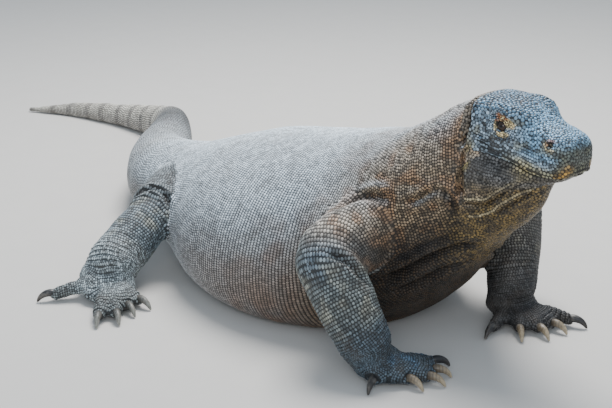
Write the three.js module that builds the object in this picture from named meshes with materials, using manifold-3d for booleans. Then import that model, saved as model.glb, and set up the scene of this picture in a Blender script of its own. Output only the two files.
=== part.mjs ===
// A life-size Komodo dragon lying on its belly, propped on its forelegs, as closed solids.
// Millimetres, +Z up. The origin is on the floor under the middle of the belly, +X is the way the
// trunk points and +Y is the animal's left. Flesh is lofted in whole lengths and then parted, so
// neighbours meet face to face.
import * as THREE from "three";
import { mergeVertices } from "three/addons/utils/BufferGeometryUtils.js";
import Module from "manifold-3d";

const wasm = await Module();
wasm.setup();

// ---- driving dimensions ----
const GAP = 0.3; // clearance left between two neighbouring pieces
const SNOUT_X = 610; // the tip of the snout, ahead of the origin
const EYE_RADIUS = 12;
const EYE_BACK = 136; // from the tip of the snout to the eye's centre
const EYE_OUT = 49; // from the midline to the eye's centre
const EYE_HEIGHT = 465;
const CLAW_LENGTH = 42; // along the outside of a claw
const CLAW_SHOWS = 0.8 * CLAW_LENGTH; // how far a claw's tip is beyond the end of its toe
const DOME = 0.62; // how far a leg length's rounded end stands out, as a share of its radius
const LEG_WIDE = 0.94; // a leg's section across, and in depth, as shares of its radius
const LEG_DEEP = 1.04;
const WRIST_BACK = 6; // a foot is parted from its leg this far above the ankle
const THINNEST = 0.4; // the least half width of a section
const BROW_DEPTH = 1.3; // a brow ridge's depth as a share of its half width
const WRIST_WIDE = 0.9; // a foot's first section as shares of the lower leg's last radius
const WRIST_DEEP = 0.8;
const UP = new THREE.Vector3(0, 0, 1);

// Where the flesh is parted: a point on each cut, and the way the cut faces.
const headCut = { at: [401, 0, 440], way: [0.98, 0, 0.2] };
const chestCut = { at: [215, 0, 0], way: [1, 0, 0] };
const tailCuts = [
  { name: "tail_tip", at: [-1325, 332, 0], way: [1, 0.22, 0] },
  { name: "tail_middle", at: [-912, 250, 0], way: [0.76, -0.65, 0] },
  { name: "tail_base", at: [-520, 5, 0], way: [1, 0, 0] },
];

// The trunk and tail: place of the widest level, half width, height above it and depth below it.
const spine = [
  { at: [-1606, 205, 9], wide: 7, up: 8, down: 10 },
  { at: [-1540, 247, 14], wide: 13, up: 14, down: 15 },
  { at: [-1473, 286, 20], wide: 18, up: 23, down: 22 },
  { at: [-1325, 332, 28], wide: 27, up: 35, down: 30 },
  { at: [-1184, 352, 36], wide: 36, up: 48, down: 38 },
  { at: [-1085, 345, 43], wide: 44, up: 60, down: 46 },
  { at: [-975, 296, 52], wide: 52, up: 82, down: 55 },
  { at: [-850, 186, 62], wide: 64, up: 86, down: 66 },
  { at: [-710, 64, 74], wide: 85, up: 94, down: 80 },
  { at: [-575, 0, 84], wide: 108, up: 108, down: 92 },
  { at: [-455, -6, 92], wide: 136, up: 118, down: 104 },
  { at: [-330, -6, 92], wide: 194, up: 163, down: 112 },
  { at: [-190, -8, 92], wide: 262, up: 212, down: 126 },
  { at: [-40, -10, 92], wide: 286, up: 241, down: 136 },
  { at: [90, -8, 106], wide: 260, up: 256, down: 150 },
  { at: [205, 0, 152], wide: 200, up: 240, down: 166 },
];

// The neck and throat, in upright sections that carry on from the chest.
const neck = [
  { at: [168, 0, 138], wide: 206, up: 234, down: 150 },
  { at: [208, 0, 154], wide: 197, up: 238, down: 164 },
  { at: [262, 0, 205], wide: 166, up: 217, down: 174 },
  { at: [315, 0, 255], wide: 140, up: 201, down: 180 },
  { at: [360, 0, 294], wide: 118, up: 190, down: 164 },
  { at: [394, 0, 322], wide: 102, up: 171, down: 146 },
  { at: [424, 0, 340], wide: 84, up: 98, down: 130 },
  { at: [460, 0, 352], wide: 65, up: 52, down: 106 },
  { at: [498, 0, 360], wide: 46, up: 26, down: 82 },
  { at: [530, 0, 368], wide: 28, up: 14, down: 54 },
  { at: [546, 0, 372], wide: 12, up: 7, down: 18 },
];

// The skull with the upper jaw, back from the snout: distance, centre height, half width, up and down.
const skull = [
  { back: 0, level: 428, wide: 22, up: 14, down: 18 },
  { back: 4, level: 428, wide: 33, up: 26, down: 30 },
  { back: 16, level: 427, wide: 42, up: 38, down: 38 },
  { back: 40, level: 426, wide: 46, up: 46, down: 42 },
  { back: 68, level: 428, wide: 48, up: 50, down: 46 },
  { back: 90, level: 432, wide: 52, up: 62, down: 47 },
  { back: 125, level: 440, wide: 57, up: 67, down: 44 },
  { back: 165, level: 442, wide: 65, up: 68, down: 40 },
  { back: 200, level: 438, wide: 71, up: 68, down: 42 },
  { back: 232, level: 430, wide: 72, up: 64, down: 46 },
  { back: 262, level: 418, wide: 66, up: 52, down: 46 },
];

const jaw = [
  { back: 26, level: 388, wide: 14, up: 8, down: 6 },
  { back: 34, level: 387, wide: 27, up: 12, down: 10 },
  { back: 60, level: 385, wide: 39, up: 14, down: 15 },
  { back: 95, level: 382, wide: 54, up: 20, down: 25 },
  { back: 130, level: 375, wide: 68, up: 31, down: 38 },
  { back: 165, level: 368, wide: 80, up: 43, down: 48 },
  { back: 196, level: 364, wide: 88, up: 54, down: 50 },
  { back: 224, level: 368, wide: 84, up: 54, down: 42 },
];

// The bony ridge over each eye: distance back from the snout, out from the midline, height and half width.
const brow = [
  { back: 166, out: 42, level: 494, thick: 9 },
  { back: 138, out: 44, level: 493, thick: 14 },
  { back: 108, out: 44, level: 488, thick: 15 },
  { back: 84, out: 37, level: 472, thick: 8 },
];

// ---- lofting ----
function solidOf(geometry) {
  const merged = mergeVertices(geometry, 1e-3);
  return new wasm.Manifold(
    new wasm.Mesh({
      numProp: 3,
      vertProperties: new Float32Array(merged.attributes.position.array),
      triVerts: new Uint32Array(merged.index.array),
    }),
  );
}

// A closed solid through rings of points, with a fan over each end.
function loft(rings) {
  const sides = rings[0].length;
  const points = rings.flat();
  const index = [];
  for (let i = 0; i + 1 < rings.length; i++) {
    for (let j = 0; j < sides; j++) {
      const here = i * sides + j;
      const next = i * sides + ((j + 1) % sides);
      index.push(here, next, next + sides, here, next + sides, here + sides);
    }
  }
  const middle = (ring) => ring.reduce((sum, p) => sum.add(p), new THREE.Vector3()).divideScalar(sides);
  const first = points.push(middle(rings[0])) - 1;
  const last = points.push(middle(rings[rings.length - 1])) - 1;
  const lastRing = (rings.length - 1) * sides;
  for (let j = 0; j < sides; j++) {
    const next = (j + 1) % sides;
    index.push(first, next, j, last, lastRing + j, lastRing + next);
  }
  const geometry = new THREE.BufferGeometry().setFromPoints(points);
  return solidOf(geometry.setIndex(index));
}

// One ring of a section: half width along side, up and down along rise. The exponents make its top
// and bottom halves rounder or squarer: 2 is an ellipse.
function ringAt(centre, side, rise, size, sides, square) {
  const power = (value, n) => Math.sign(value) * Math.abs(value) ** (2 / n);
  return Array.from({ length: sides }, (_, j) => {
    const angle = ((j + 0.5) / sides) * 2 * Math.PI;
    const above = Math.sin(angle) > 0;
    const n = above ? square.top : square.bottom;
    const out = size.x * power(Math.cos(angle), n);
    const high = (above ? size.y : size.z) * power(Math.sin(angle), n);
    return centre.clone().addScaledVector(side, out).addScaledVector(rise, high);
  });
}

// A loft along stations {at, wide, up, down}. hint is the side direction of its sections; a level loft keeps
// its sections upright. grow makes the same shape that much bigger all round, as a cutter for its neighbour.
function body(stations, { sides = 8, steps = 2, hint, level = false, grow = 0, top = 2, bottom = 2 }) {
  const path = new THREE.CatmullRomCurve3(stations.map((s) => new THREE.Vector3(...s.at)));
  const sizes = new THREE.CatmullRomCurve3(stations.map((s) => new THREE.Vector3(s.wide, s.up, s.down)));
  const count = (stations.length - 1) * steps;
  const rings = [];
  for (let i = 0; i <= count; i++) {
    const t = i / count;
    const ahead = path.getTangent(t);
    if (level) ahead.setZ(0).normalize();
    const aim = hint ?? UP.clone().cross(ahead);
    const side = aim.clone().addScaledVector(ahead, -aim.dot(ahead)).normalize();
    const rise = ahead.clone().cross(side);
    const size = sizes.getPoint(t).addScalar(grow).max(new THREE.Vector3().setScalar(THINNEST));
    const end = i === 0 ? -grow : i === count ? grow : 0;
    const centre = path.getPoint(t).addScaledVector(ahead, end);
    rings.push(ringAt(centre, side, rise, size, sides, { top, bottom }));
  }
  return loft(rings);
}

const vector = (xyz) => new THREE.Vector3(...xyz);
const aboveFloor = (piece) => piece.trimByPlane([0, 0, 1], 0);

// Half the clearance is taken off each side of a cut.
function keepAhead(piece, cut) {
  const way = vector(cut.way).normalize();
  return piece.trimByPlane(way.toArray(), way.dot(vector(cut.at)) + GAP / 2);
}

function keepBehind(piece, cut) {
  const way = vector(cut.way).normalize();
  return piece.trimByPlane(way.clone().negate().toArray(), -way.dot(vector(cut.at)) + GAP / 2);
}

// ---- skull, jaw and eyes ----
const alongHead = (list) =>
  list.map(({ back, level, ...size }) => ({ at: [SNOUT_X - back, 0, level], ...size })).reverse();

function browRidge(side, grow) {
  const stations = brow.map(({ back, out, level, thick }) => ({
    at: [SNOUT_X - back, side * out, level],
    wide: thick,
    up: thick,
    down: thick * BROW_DEPTH,
  }));
  return body(stations.reverse(), { sides: 10, steps: 1, level: true, grow });
}

function skullBody(grow) {
  const box = body(alongHead(skull), { sides: 22, steps: 2, level: true, grow, top: 3.2, bottom: 3.6 });
  return box.add(browRidge(-1, grow)).add(browRidge(1, grow));
}

const jawShape = { sides: 16, steps: 1, level: true, top: 2.4, bottom: 3 };
const jawBody = (grow) => body(alongHead(jaw), { ...jawShape, grow });

function eyeball(side, grow) {
  const ball = new THREE.SphereGeometry(EYE_RADIUS + grow, 12, 8);
  ball.deleteAttribute("normal");
  ball.deleteAttribute("uv");
  ball.rotateX(Math.PI / 2);
  ball.translate(SNOUT_X - EYE_BACK, side * EYE_OUT, EYE_HEIGHT);
  return solidOf(ball);
}

// ---- legs ----
// A leg is an upper and a lower length, a foot with five toes, and five claws. The toes' headings are in
// degrees from +X. Their reaches run from the palm's middle to the claw's tip, innermost toe first.
const foreNames = ["upper_arm", "forearm", "forefoot", "foreclaw"];
const hindNames = ["thigh", "shank", "hindfoot", "hindclaw"];
const legs = {
  rightFore: {
    prefix: "right",
    names: foreNames,
    root: [240, -100, 236],
    joint: [238, -254, 206],
    ankle: [352, -254, 66],
    palm: [366, -228, 26],
    upper: [76, 72, 60],
    lower: [62, 61, 52],
    toes: [64, 44, 26, 6, -62],
    reach: [134, 128, 122, 96, 82],
    pad: 54,
  },
  leftFore: {
    prefix: "left",
    names: foreNames,
    root: [240, 100, 236],
    joint: [290, 224, 205],
    ankle: [362, 142, 68],
    palm: [366, 146, 26],
    upper: [76, 72, 60],
    lower: [62, 62, 54],
    toes: [-76, -42, -16, 7, 27],
    reach: [124, 116, 122, 124, 148],
    pad: 54,
  },
  rightHind: {
    prefix: "right",
    names: hindNames,
    root: [-440, -66, 104],
    joint: [-322, -228, 134],
    ankle: [-286, -372, 60],
    palm: [-270, -396, 26],
    upper: [86, 76, 60],
    lower: [48, 56, 57],
    toes: [10, -10, -26, -42, -118],
    reach: [124, 132, 158, 164, 146],
    pad: 60,
  },
  leftHind: {
    prefix: "left",
    names: hindNames,
    root: [-440, 60, 100],
    joint: [-356, 218, 128],
    ankle: [-386, 346, 58],
    palm: [-356, 384, 26],
    upper: [86, 76, 60],
    lower: [50, 56, 57],
    toes: [-6, 14, 32, 50, 112],
    reach: [124, 136, 156, 162, 146],
    pad: 60,
  },
};

// A toe arches from the palm to the claw's root. Heights and sizes from the palm out; the last station
// closes the toe's end a little beyond its length.
const toeProfile = [
  { high: 24, wide: 17, up: 17, down: 17 },
  { high: 26, wide: 15.5, up: 16, down: 17 },
  { high: 15, wide: 14, up: 15, down: 16 },
  { high: 12, wide: 9, up: 9, down: 9 },
];
const TOE_START = 8; // how far from the palm's middle a toe begins
const TOE_ARCH = 0.62; // the share of its length at which a toe is highest
const TOE_END = 9;

// A claw rises a little from its toe and hooks down to the floor.
const clawProfile = [
  { far: -3, high: 18, wide: 9.2, up: 9.6, down: 9.6 },
  { far: 8, high: 20, wide: 9, up: 9.4, down: 9.4 },
  { far: 19, high: 17.5, wide: 7.2, up: 8, down: 8 },
  { far: 28, high: 11, wide: 5, up: 5.6, down: 5.6 },
  { far: 33.5, high: 1.9, wide: 2, up: 2.2, down: 2.2 },
];

// The palm, from the ankle to the roots of the toes; narrow is what it loses of the pad's half width.
const palmProfile = [
  { far: -20, high: 36, narrow: 0, up: 38, down: 40 },
  { far: 12, high: 26, narrow: 0, up: 26, down: 30 },
  { far: 36, high: 20, narrow: 6, up: 16, down: 24 },
  { far: 50, high: 17, narrow: 20, up: 8, down: 14 },
];

// One straight length of a leg, round at both ends. Its radii run from the body outwards.
function legLength(from, to, radii, grow) {
  const along = vector(to).sub(vector(from));
  const length = along.length();
  along.normalize();
  const bend = along.clone().cross(UP).normalize();
  const first = radii[0];
  const last = radii[radii.length - 1];
  const profile = [
    [-DOME * first, 0.5 * first],
    [-0.55 * DOME * first, 0.86 * first],
    ...radii.map((r, i) => [(length * i) / (radii.length - 1), r]),
    [length + 0.55 * DOME * last, 0.86 * last],
    [length + DOME * last, 0.5 * last],
  ];
  const stations = profile.map(([far, r]) => ({
    at: vector(from).addScaledVector(along, far).toArray(),
    wide: r * LEG_WIDE,
    up: r * LEG_DEEP,
    down: r * LEG_DEEP,
  }));
  return body(stations, { sides: 12, steps: 1, hint: bend, grow });
}

// A level heading from the middle of a foot's palm, with the way across it and places along it.
function heading(palm, degrees) {
  const angle = THREE.MathUtils.degToRad(degrees);
  const aim = new THREE.Vector3(Math.cos(angle), Math.sin(angle), 0);
  const place = (far, high) => vector(palm).addScaledVector(aim, far).setZ(high).toArray();
  return { across: UP.clone().cross(aim), place };
}

function toe(palm, degrees, reach, grow) {
  const { across, place } = heading(palm, degrees);
  const end = reach - CLAW_SHOWS;
  const lengths = [TOE_START, end * TOE_ARCH, end, end + TOE_END];
  const stations = toeProfile.map(({ high, ...size }, i) => ({ at: place(lengths[i], high), ...size }));
  return body(stations, { sides: 7, steps: 1, hint: across, grow });
}

function claw(palm, degrees, reach, grow) {
  const { across, place } = heading(palm, degrees);
  const root = reach - CLAW_SHOWS;
  const stations = clawProfile.map(({ far, high, ...size }) => ({
    at: place(root + far, high),
    ...size,
  }));
  return body(stations, { sides: 6, steps: 1, hint: across, grow });
}

function paw(leg, grow) {
  const { across, place } = heading(leg.palm, leg.toes[2]);
  const [x, y, z] = leg.ankle;
  const wrist = leg.lower[2];
  const stations = [
    {
      at: [x, y, z + WRIST_BACK],
      wide: WRIST_WIDE * wrist,
      up: WRIST_DEEP * wrist,
      down: WRIST_DEEP * wrist,
    },
    ...palmProfile.map(({ far, high, narrow, ...size }) => ({
      at: place(far, high),
      wide: leg.pad - narrow,
      ...size,
    })),
  ];
  const palm = body(stations, { sides: 10, steps: 1, hint: across, grow });
  return leg.toes.reduce(
    (foot, degrees, i) => foot.add(toe(leg.palm, degrees, leg.reach[i], grow)),
    palm,
  );
}

// ---- assembling ----
const looks = {
  hide: new THREE.MeshStandardMaterial({ color: 0x6d685e, roughness: 0.85, metalness: 0 }),
  claw: new THREE.MeshStandardMaterial({ color: 0x5b5346, roughness: 0.5, metalness: 0 }),
  eye: new THREE.MeshStandardMaterial({ color: 0x1b120b, roughness: 0.1, metalness: 0 }),
};

const dragon = new THREE.Group();

function addPiece(name, piece, look) {
  const mesh = piece.getMesh();
  const positions = new Float32Array(mesh.numVert * 3);
  for (let i = 0; i < mesh.numVert; i++) {
    positions.set(mesh.vertProperties.subarray(i * mesh.numProp, i * mesh.numProp + 3), i * 3);
  }
  const geometry = new THREE.BufferGeometry();
  geometry.setAttribute("position", new THREE.BufferAttribute(positions, 3));
  geometry.setIndex(new THREE.BufferAttribute(mesh.triVerts, 1));
  geometry.computeVertexNormals();
  const node = new THREE.Mesh(geometry, looks[look]);
  node.name = name;
  dragon.add(node);
}

const trunkShape = { sides: 28, level: true, top: 2.15, bottom: 2.5 };
const trunkBody = (grow) => body(spine, { ...trunkShape, steps: 2, grow });
const neckBody = (grow) => body(neck, { ...trunkShape, steps: 1, grow });

// The trunk and tail are one loft, parted from the tip of the tail forwards.
function addTrunkAndTail() {
  let rest = trunkBody(0).add(neckBody(0));
  for (const cut of tailCuts) {
    addPiece(cut.name, aboveFloor(keepBehind(rest, cut)), "hide");
    rest = keepAhead(rest, cut);
  }
  addPiece("trunk", aboveFloor(keepBehind(rest, chestCut)), "hide");
}

// The neck's front end is the throat under the jaws, so the skull and the jaw are cut out of it.
function addHeadAndNeck() {
  const throat = keepAhead(neckBody(0), chestCut);
  const [x, y, z] = headCut.at;
  const socket = keepAhead(skullBody(GAP), { at: [x - GAP, y, z], way: headCut.way });
  addPiece("neck", throat.subtract(socket).subtract(jawBody(GAP)), "hide");
  const face = keepAhead(skullBody(0), headCut);
  addPiece("head", face.subtract(eyeball(-1, GAP)).subtract(eyeball(1, GAP)), "hide");
  addPiece("lower_jaw", jawBody(0).subtract(skullBody(GAP)), "hide");
  addPiece("eye_right", eyeball(-1, 0), "eye");
  addPiece("eye_left", eyeball(1, 0), "eye");
}

// The two lengths of a leg are parted where it bends, halfway between their directions.
function addLeg(leg, flesh) {
  const [upperName, lowerName, footName, clawName] = leg.names.map((name) => `${leg.prefix}_${name}`);
  const upperWay = vector(leg.joint).sub(vector(leg.root)).normalize();
  const lowerWay = vector(leg.ankle).sub(vector(leg.joint)).normalize();
  const bendCut = { at: leg.joint, way: upperWay.add(lowerWay).toArray() };
  const ankle = vector(leg.ankle).addScaledVector(lowerWay, -WRIST_BACK);
  const ankleCut = { at: ankle.toArray(), way: lowerWay.toArray() };
  const upperLength = legLength(leg.root, leg.joint, leg.upper, 0);
  const lowerLength = legLength(leg.joint, leg.ankle, leg.lower, 0);
  const whole = upperLength.add(lowerLength).add(paw(leg, 0)).subtract(flesh);
  const lower = keepAhead(whole, bendCut);
  let foot = keepAhead(lower, ankleCut);
  leg.toes.forEach((degrees, i) => {
    addPiece(`${clawName}_${i + 1}`, aboveFloor(claw(leg.palm, degrees, leg.reach[i], 0)), "claw");
    foot = foot.subtract(claw(leg.palm, degrees, leg.reach[i], GAP));
  });
  addPiece(upperName, aboveFloor(keepBehind(whole, bendCut)), "hide");
  addPiece(lowerName, aboveFloor(keepBehind(lower, ankleCut)), "hide");
  addPiece(footName, aboveFloor(foot), "hide");
}

addTrunkAndTail();
addHeadAndNeck();
const flesh = trunkBody(GAP).add(neckBody(GAP));
Object.values(legs).forEach((leg) => addLeg(leg, flesh));

export default dragon;
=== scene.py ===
import math
import bmesh
import bpy
import numpy as np
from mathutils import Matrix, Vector, noise
from mathutils.bvhtree import BVHTree
from mathutils.kdtree import KDTree


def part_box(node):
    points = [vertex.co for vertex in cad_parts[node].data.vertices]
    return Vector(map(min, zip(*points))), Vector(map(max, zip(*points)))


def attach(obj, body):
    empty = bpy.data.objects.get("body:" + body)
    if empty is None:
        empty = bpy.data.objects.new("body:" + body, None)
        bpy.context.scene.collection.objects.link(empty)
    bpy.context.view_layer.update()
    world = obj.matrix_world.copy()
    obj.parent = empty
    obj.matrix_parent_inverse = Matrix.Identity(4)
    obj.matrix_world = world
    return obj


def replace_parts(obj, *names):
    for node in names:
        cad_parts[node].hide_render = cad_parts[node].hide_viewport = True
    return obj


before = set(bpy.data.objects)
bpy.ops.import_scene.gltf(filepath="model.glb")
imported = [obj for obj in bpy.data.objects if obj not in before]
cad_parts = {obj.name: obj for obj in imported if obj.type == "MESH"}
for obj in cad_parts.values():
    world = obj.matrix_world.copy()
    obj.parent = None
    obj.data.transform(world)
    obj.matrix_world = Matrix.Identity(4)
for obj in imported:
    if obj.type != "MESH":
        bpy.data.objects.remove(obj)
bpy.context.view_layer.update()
rng = np.random.default_rng(7)

# Small helpers.


def srgb(red, green, blue):
    values = np.array([red, green, blue]) / 255
    return np.where(values < 0.04045, values / 12.92, ((values + 0.055) / 1.055) ** 2.4)


def unit(vectors):
    return vectors / np.maximum(np.linalg.norm(vectors, axis=-1, keepdims=True), 1e-12)


def ramp(values, low, high):  # 0 below low, 1 above high, smooth between
    t = np.clip((values - low) / (high - low), 0, 1)
    return t * t * (3 - 2 * t)


def bell(values, width):
    return np.exp(-((values / width) ** 2))


def mixed(under, over, share):
    return under + (over - under) * np.reshape(share, (-1, 1))


def sumAt(index, values, count):  # adds rows of values into count rows
    return np.stack([np.bincount(index, values[:, i], count) for i in range(values.shape[1])], 1)


def trianglesOf(mesh):
    mesh.calc_loop_triangles()
    tris = np.empty(len(mesh.loop_triangles) * 3, np.int32)
    mesh.loop_triangles.foreach_get("vertices", tris)
    return tris.reshape(-1, 3)


def pointsOf(mesh):
    points = np.empty(len(mesh.vertices) * 3)
    mesh.vertices.foreach_get("co", points)
    return points.reshape(-1, 3)


def normalsOf(points, tris):
    a, b, c = (points[tris[:, i]] for i in range(3))
    faceNormals = np.cross(b - a, c - a)
    total = sum(sumAt(tris[:, i], faceNormals, len(points)) for i in range(3))
    return unit(total)


def toLine(points, line):
    # distance from each point to a polyline, and how far along it the nearest place is
    best = np.full(len(points), np.inf)
    along = np.zeros(len(points))
    start = 0.0
    for a, b in zip(line[:-1], line[1:]):
        step = b - a
        length = np.linalg.norm(step)
        t = np.clip((points - a) @ step / length**2, 0, 1)
        gap = np.linalg.norm(points - a - t[:, None] * step, axis=1)
        closer = gap < best
        best[closer] = gap[closer]
        along[closer] = start + t[closer] * length
        start += length
    return best, along


def roundedLine(points, steps=8):  # a smooth curve through given points
    points = np.array(points, float)
    padded = np.vstack([2 * points[0] - points[1], points, 2 * points[-1] - points[-2]])
    out = []
    for i in range(len(points) - 1):
        a, b, c, d = padded[i:i + 4]
        for t in np.arange(steps) / steps:
            out.append(0.5 * (2 * b + (c - a) * t + (2 * a - 5 * b + 4 * c - d) * t**2
                              + (3 * b - a - 3 * c + d) * t**3))
    out.append(points[-1])
    return np.array(out)


def millimetres(*points):
    return np.array(points, float) / 1000


def bothSides(line):
    return [line, line * [1, -1, 1]]


def reachOf(line):  # how far along a line each of its points is
    return np.append(0, np.cumsum(np.linalg.norm(np.diff(line, axis=0), axis=1)))


def lengthOf(line):
    return reachOf(line)[-1]


def readAt(at, reach, values):  # rows of values at places along a line
    return np.stack([np.interp(at, reach, values[:, i]) for i in range(values.shape[1])], 1)


def placeAlong(points, lengths, soft, power):
    # How far along a chain of lengths each place is. Every length counts by how close it is, so that
    # rows turn smoothly at a bend and don't part there.
    total = np.zeros(len(points))
    weights = np.zeros(len(points))
    for start, a, b in lengths:
        step = b - a
        length = np.linalg.norm(step)
        raw = (points - a) @ step / length
        gap = np.linalg.norm(points - a - np.clip(raw / length, 0, 1)[:, None] * step, axis=1)
        weight = (gap + soft) ** -float(power)
        total += weight * (start + raw)
        weights += weight
    return total / weights


def treeOf(places):
    tree = KDTree(len(places))
    for i, place in enumerate(places):
        tree.insert(place, i)
    tree.balance()
    return tree


def meshFrom(bm, name):
    mesh = bpy.data.meshes.new(name)
    bm.to_mesh(mesh)
    bm.free()
    return mesh


def setPoints(mesh, points):
    mesh.vertices.foreach_set("co", points.ravel())
    mesh.update()


def addFloat(mesh, name, values):
    mesh.attributes.new(name, "FLOAT", "POINT").data.foreach_set("value", values.astype(np.float32))


def addColour(mesh, name, colours):
    full = np.ones((len(colours), 4), np.float32)
    full[:, :3] = colours
    mesh.attributes.new(name, "FLOAT_COLOR", "POINT").data.foreach_set("color", full.ravel())


def newObject(name, mesh):
    obj = bpy.data.objects.new(name, mesh)
    bpy.context.scene.collection.objects.link(obj)
    return obj


def applied(obj):  # bakes an object's modifiers into its mesh
    depsgraph = bpy.context.evaluated_depsgraph_get()
    mesh = bpy.data.meshes.new_from_object(obj.evaluated_get(depsgraph))
    old = obj.data
    obj.modifiers.clear()
    obj.data = mesh
    bpy.data.meshes.remove(old)
    return mesh


def shadeSmooth(mesh):
    mesh.polygons.foreach_set("use_smooth", np.ones(len(mesh.polygons), bool))
    mesh.update()


# Camera.
view = {
    "place": (1.8530, -1.7521, 1.1083),
    "down": 70,  # degrees up from looking straight down
    "turn": 48,
    "lens": 76.47,
}


def addCamera():
    data = bpy.data.cameras.new("camera")
    data.lens = view["lens"]
    data.sensor_width = 36
    camera = bpy.data.objects.new("camera", data)
    camera.location = view["place"]
    camera.rotation_euler = (math.radians(view["down"]), 0, math.radians(view["turn"]))
    bpy.context.scene.collection.objects.link(camera)
    bpy.context.scene.camera = camera


addCamera()
print("camera placed")

# The lines that the rows of scales cross.
# From the tip of the tail to the chest, seen from above.
spineLine = roundedLine(millimetres(
    (-1606, 205, 0), (-1473, 286, 0), (-1325, 332, 0), (-1184, 352, 0), (-1085, 345, 0), (-975, 296, 0),
    (-850, 186, 0), (-710, 64, 0), (-575, 0, 0), (-330, -6, 0), (-40, -10, 0), (205, 0, 0), (640, 0, 0)))
# Each leg's root, joint, ankle and the middle of its palm.
legLines = {
    "right_fore": millimetres((240, -100, 236), (238, -254, 206), (352, -254, 66), (366, -228, 26)),
    "left_fore": millimetres((240, 100, 236), (290, 224, 205), (362, 142, 68), (366, 146, 26)),
    "right_hind": millimetres((-440, -66, 104), (-322, -228, 134), (-286, -372, 60), (-270, -396, 26)),
    "left_hind": millimetres((-440, 60, 100), (-356, 218, 128), (-386, 346, 58), (-356, 384, 26)),
}
legOf = {}  # the leg that each solid belongs to
for side in ("right", "left"):
    for part in ("upper_arm", "forearm", "forefoot"):
        legOf[f"{side}_{part}"] = f"{side}_fore"
    for part in ("thigh", "shank", "hindfoot"):
        legOf[f"{side}_{part}"] = f"{side}_hind"

# Skin.
skin = {
    "voxel": 0.0060,
    "overlap": 0.0007,  # closes the clearance between two solids
    "coatDepth": 0.0018,
    "thinning": 0.50,  # the share of the trunk's triangles that go
    "headFrom": 0.385,  # ahead of this the skin is finer
    "looseness": 0.0016,  # how far soft skin sags and swells
    "wrinkle": 0.0100,  # from wrinkle to wrinkle
    "lowest": 0.0004,
    # How many rounds of smoothing each part gets.
    "rounds": {
        "trunk": 60, "neck": 26, "tail_base": 40, "tail_middle": 24, "tail_tip": 8, "head": 3, "lower_jaw": 3,
        "upper_arm": 16, "forearm": 14, "thigh": 16, "shank": 14, "forefoot": 4, "hindfoot": 4,
    },
}
fleshNames = [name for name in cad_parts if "claw" not in name and not name.startswith("eye")]
eyeNames = ["eye_right", "eye_left"]


def fleshCopy():
    joined = bmesh.new()
    for name in fleshNames + eyeNames:
        part = bmesh.new()
        part.from_mesh(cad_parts[name].data)
        bmesh.ops.remove_doubles(part, verts=part.verts, dist=1e-5)
        part.normal_update()
        for vert in part.verts:
            vert.co += vert.normal * skin["overlap"]
        mesh = meshFrom(part, name + "_copy")
        joined.from_mesh(mesh)
        bpy.data.meshes.remove(mesh)
    return meshFrom(joined, "skin")


def nodeTree():  # finds which solid a place belongs to
    corners = []
    faces = []
    owners = []
    for name in fleshNames:
        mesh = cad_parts[name].data
        tris = trianglesOf(mesh)
        faces += (tris + len(corners)).tolist()
        corners += pointsOf(mesh).tolist()
        owners += [name] * len(tris)
    return BVHTree.FromPolygons(corners, faces), owners


ownerTree, owners = nodeTree()


def regionsOf(points):
    return np.array([owners[ownerTree.find_nearest(p)[2]] for p in points.tolist()])


def roundsFor(regions):
    rounds = np.zeros(len(regions))
    for name in np.unique(regions):
        part = name.replace("right_", "").replace("left_", "")
        rounds[regions == name] = skin["rounds"][part]
    return rounds


def relax(points, edges, rounds):
    # Laplacian smoothing, with its own number of rounds at each point
    a, b = edges[:, 0], edges[:, 1]
    count = np.bincount(edges.ravel(), minlength=len(points))[:, None]
    for i in range(int(rounds.max())):
        around = (sumAt(a, points[b], len(points)) + sumAt(b, points[a], len(points))) / count
        points = points + (around - points) * 0.5 * np.clip(rounds - i, 0, 1)[:, None]
    return points


def edgesOf(mesh):
    edges = np.empty(len(mesh.edges) * 2, np.int32)
    mesh.edges.foreach_get("vertices", edges)
    return edges.reshape(-1, 2)


def blurred(values, edges, rounds):
    full = np.full(len(values), float(rounds))
    return relax(values[:, None], edges, full)[:, 0]


def finer(mesh, chosen):  # splits every edge between chosen points
    bm = bmesh.new()
    bm.from_mesh(mesh)
    edges = [e for e in bm.edges if chosen[e.verts[0].index] and chosen[e.verts[1].index]]
    bmesh.ops.subdivide_edges(bm, edges=edges, cuts=1, use_grid_fill=True, use_single_edge=True)
    bmesh.ops.triangulate(bm, faces=[f for f in bm.faces if len(f.verts) > 3])
    bm.to_mesh(mesh)
    bm.free()


def makeSkin():
    obj = newObject("skin", fleshCopy())
    remesh = obj.modifiers.new("remesh", "REMESH")
    remesh.mode = "VOXEL"
    remesh.voxel_size = skin["voxel"]
    mesh = applied(obj)
    points = pointsOf(mesh)
    edges = edgesOf(mesh)
    regions = regionsOf(points)
    rounds = blurred(roundsFor(regions), edges, 12)
    setPoints(mesh, relax(points, edges, rounds))
    print("skin remeshed and smoothed:", len(mesh.polygons), "faces")

    # The trunk needs fewer triangles than the head and feet.
    group = obj.vertex_groups.new(name="thinned")
    wide = (np.char.find(regions, "trunk") == 0) | (regions == "tail_base")
    group.add(np.flatnonzero(wide).tolist(), 1.0, "REPLACE")
    thin = obj.modifiers.new("thin", "DECIMATE")
    thin.ratio = 1 - skin["thinning"] * wide.mean()
    thin.vertex_group = "thinned"
    mesh = applied(obj)
    obj.vertex_groups.clear()
    points = pointsOf(mesh)
    finer(mesh, points[:, 0] > skin["headFrom"] + 0.15 * np.clip(0.38 - points[:, 2], 0, 1))
    points = pointsOf(mesh)
    finer(mesh, nearFace(points))
    points = pointsOf(mesh)
    edges = edgesOf(mesh)
    headRounds = np.where(points[:, 0] > skin["headFrom"], 4.0, 0.0)
    setPoints(mesh, relax(points, edges, headRounds))
    print("skin made finer at the head:", len(mesh.polygons), "faces")
    return obj


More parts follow.
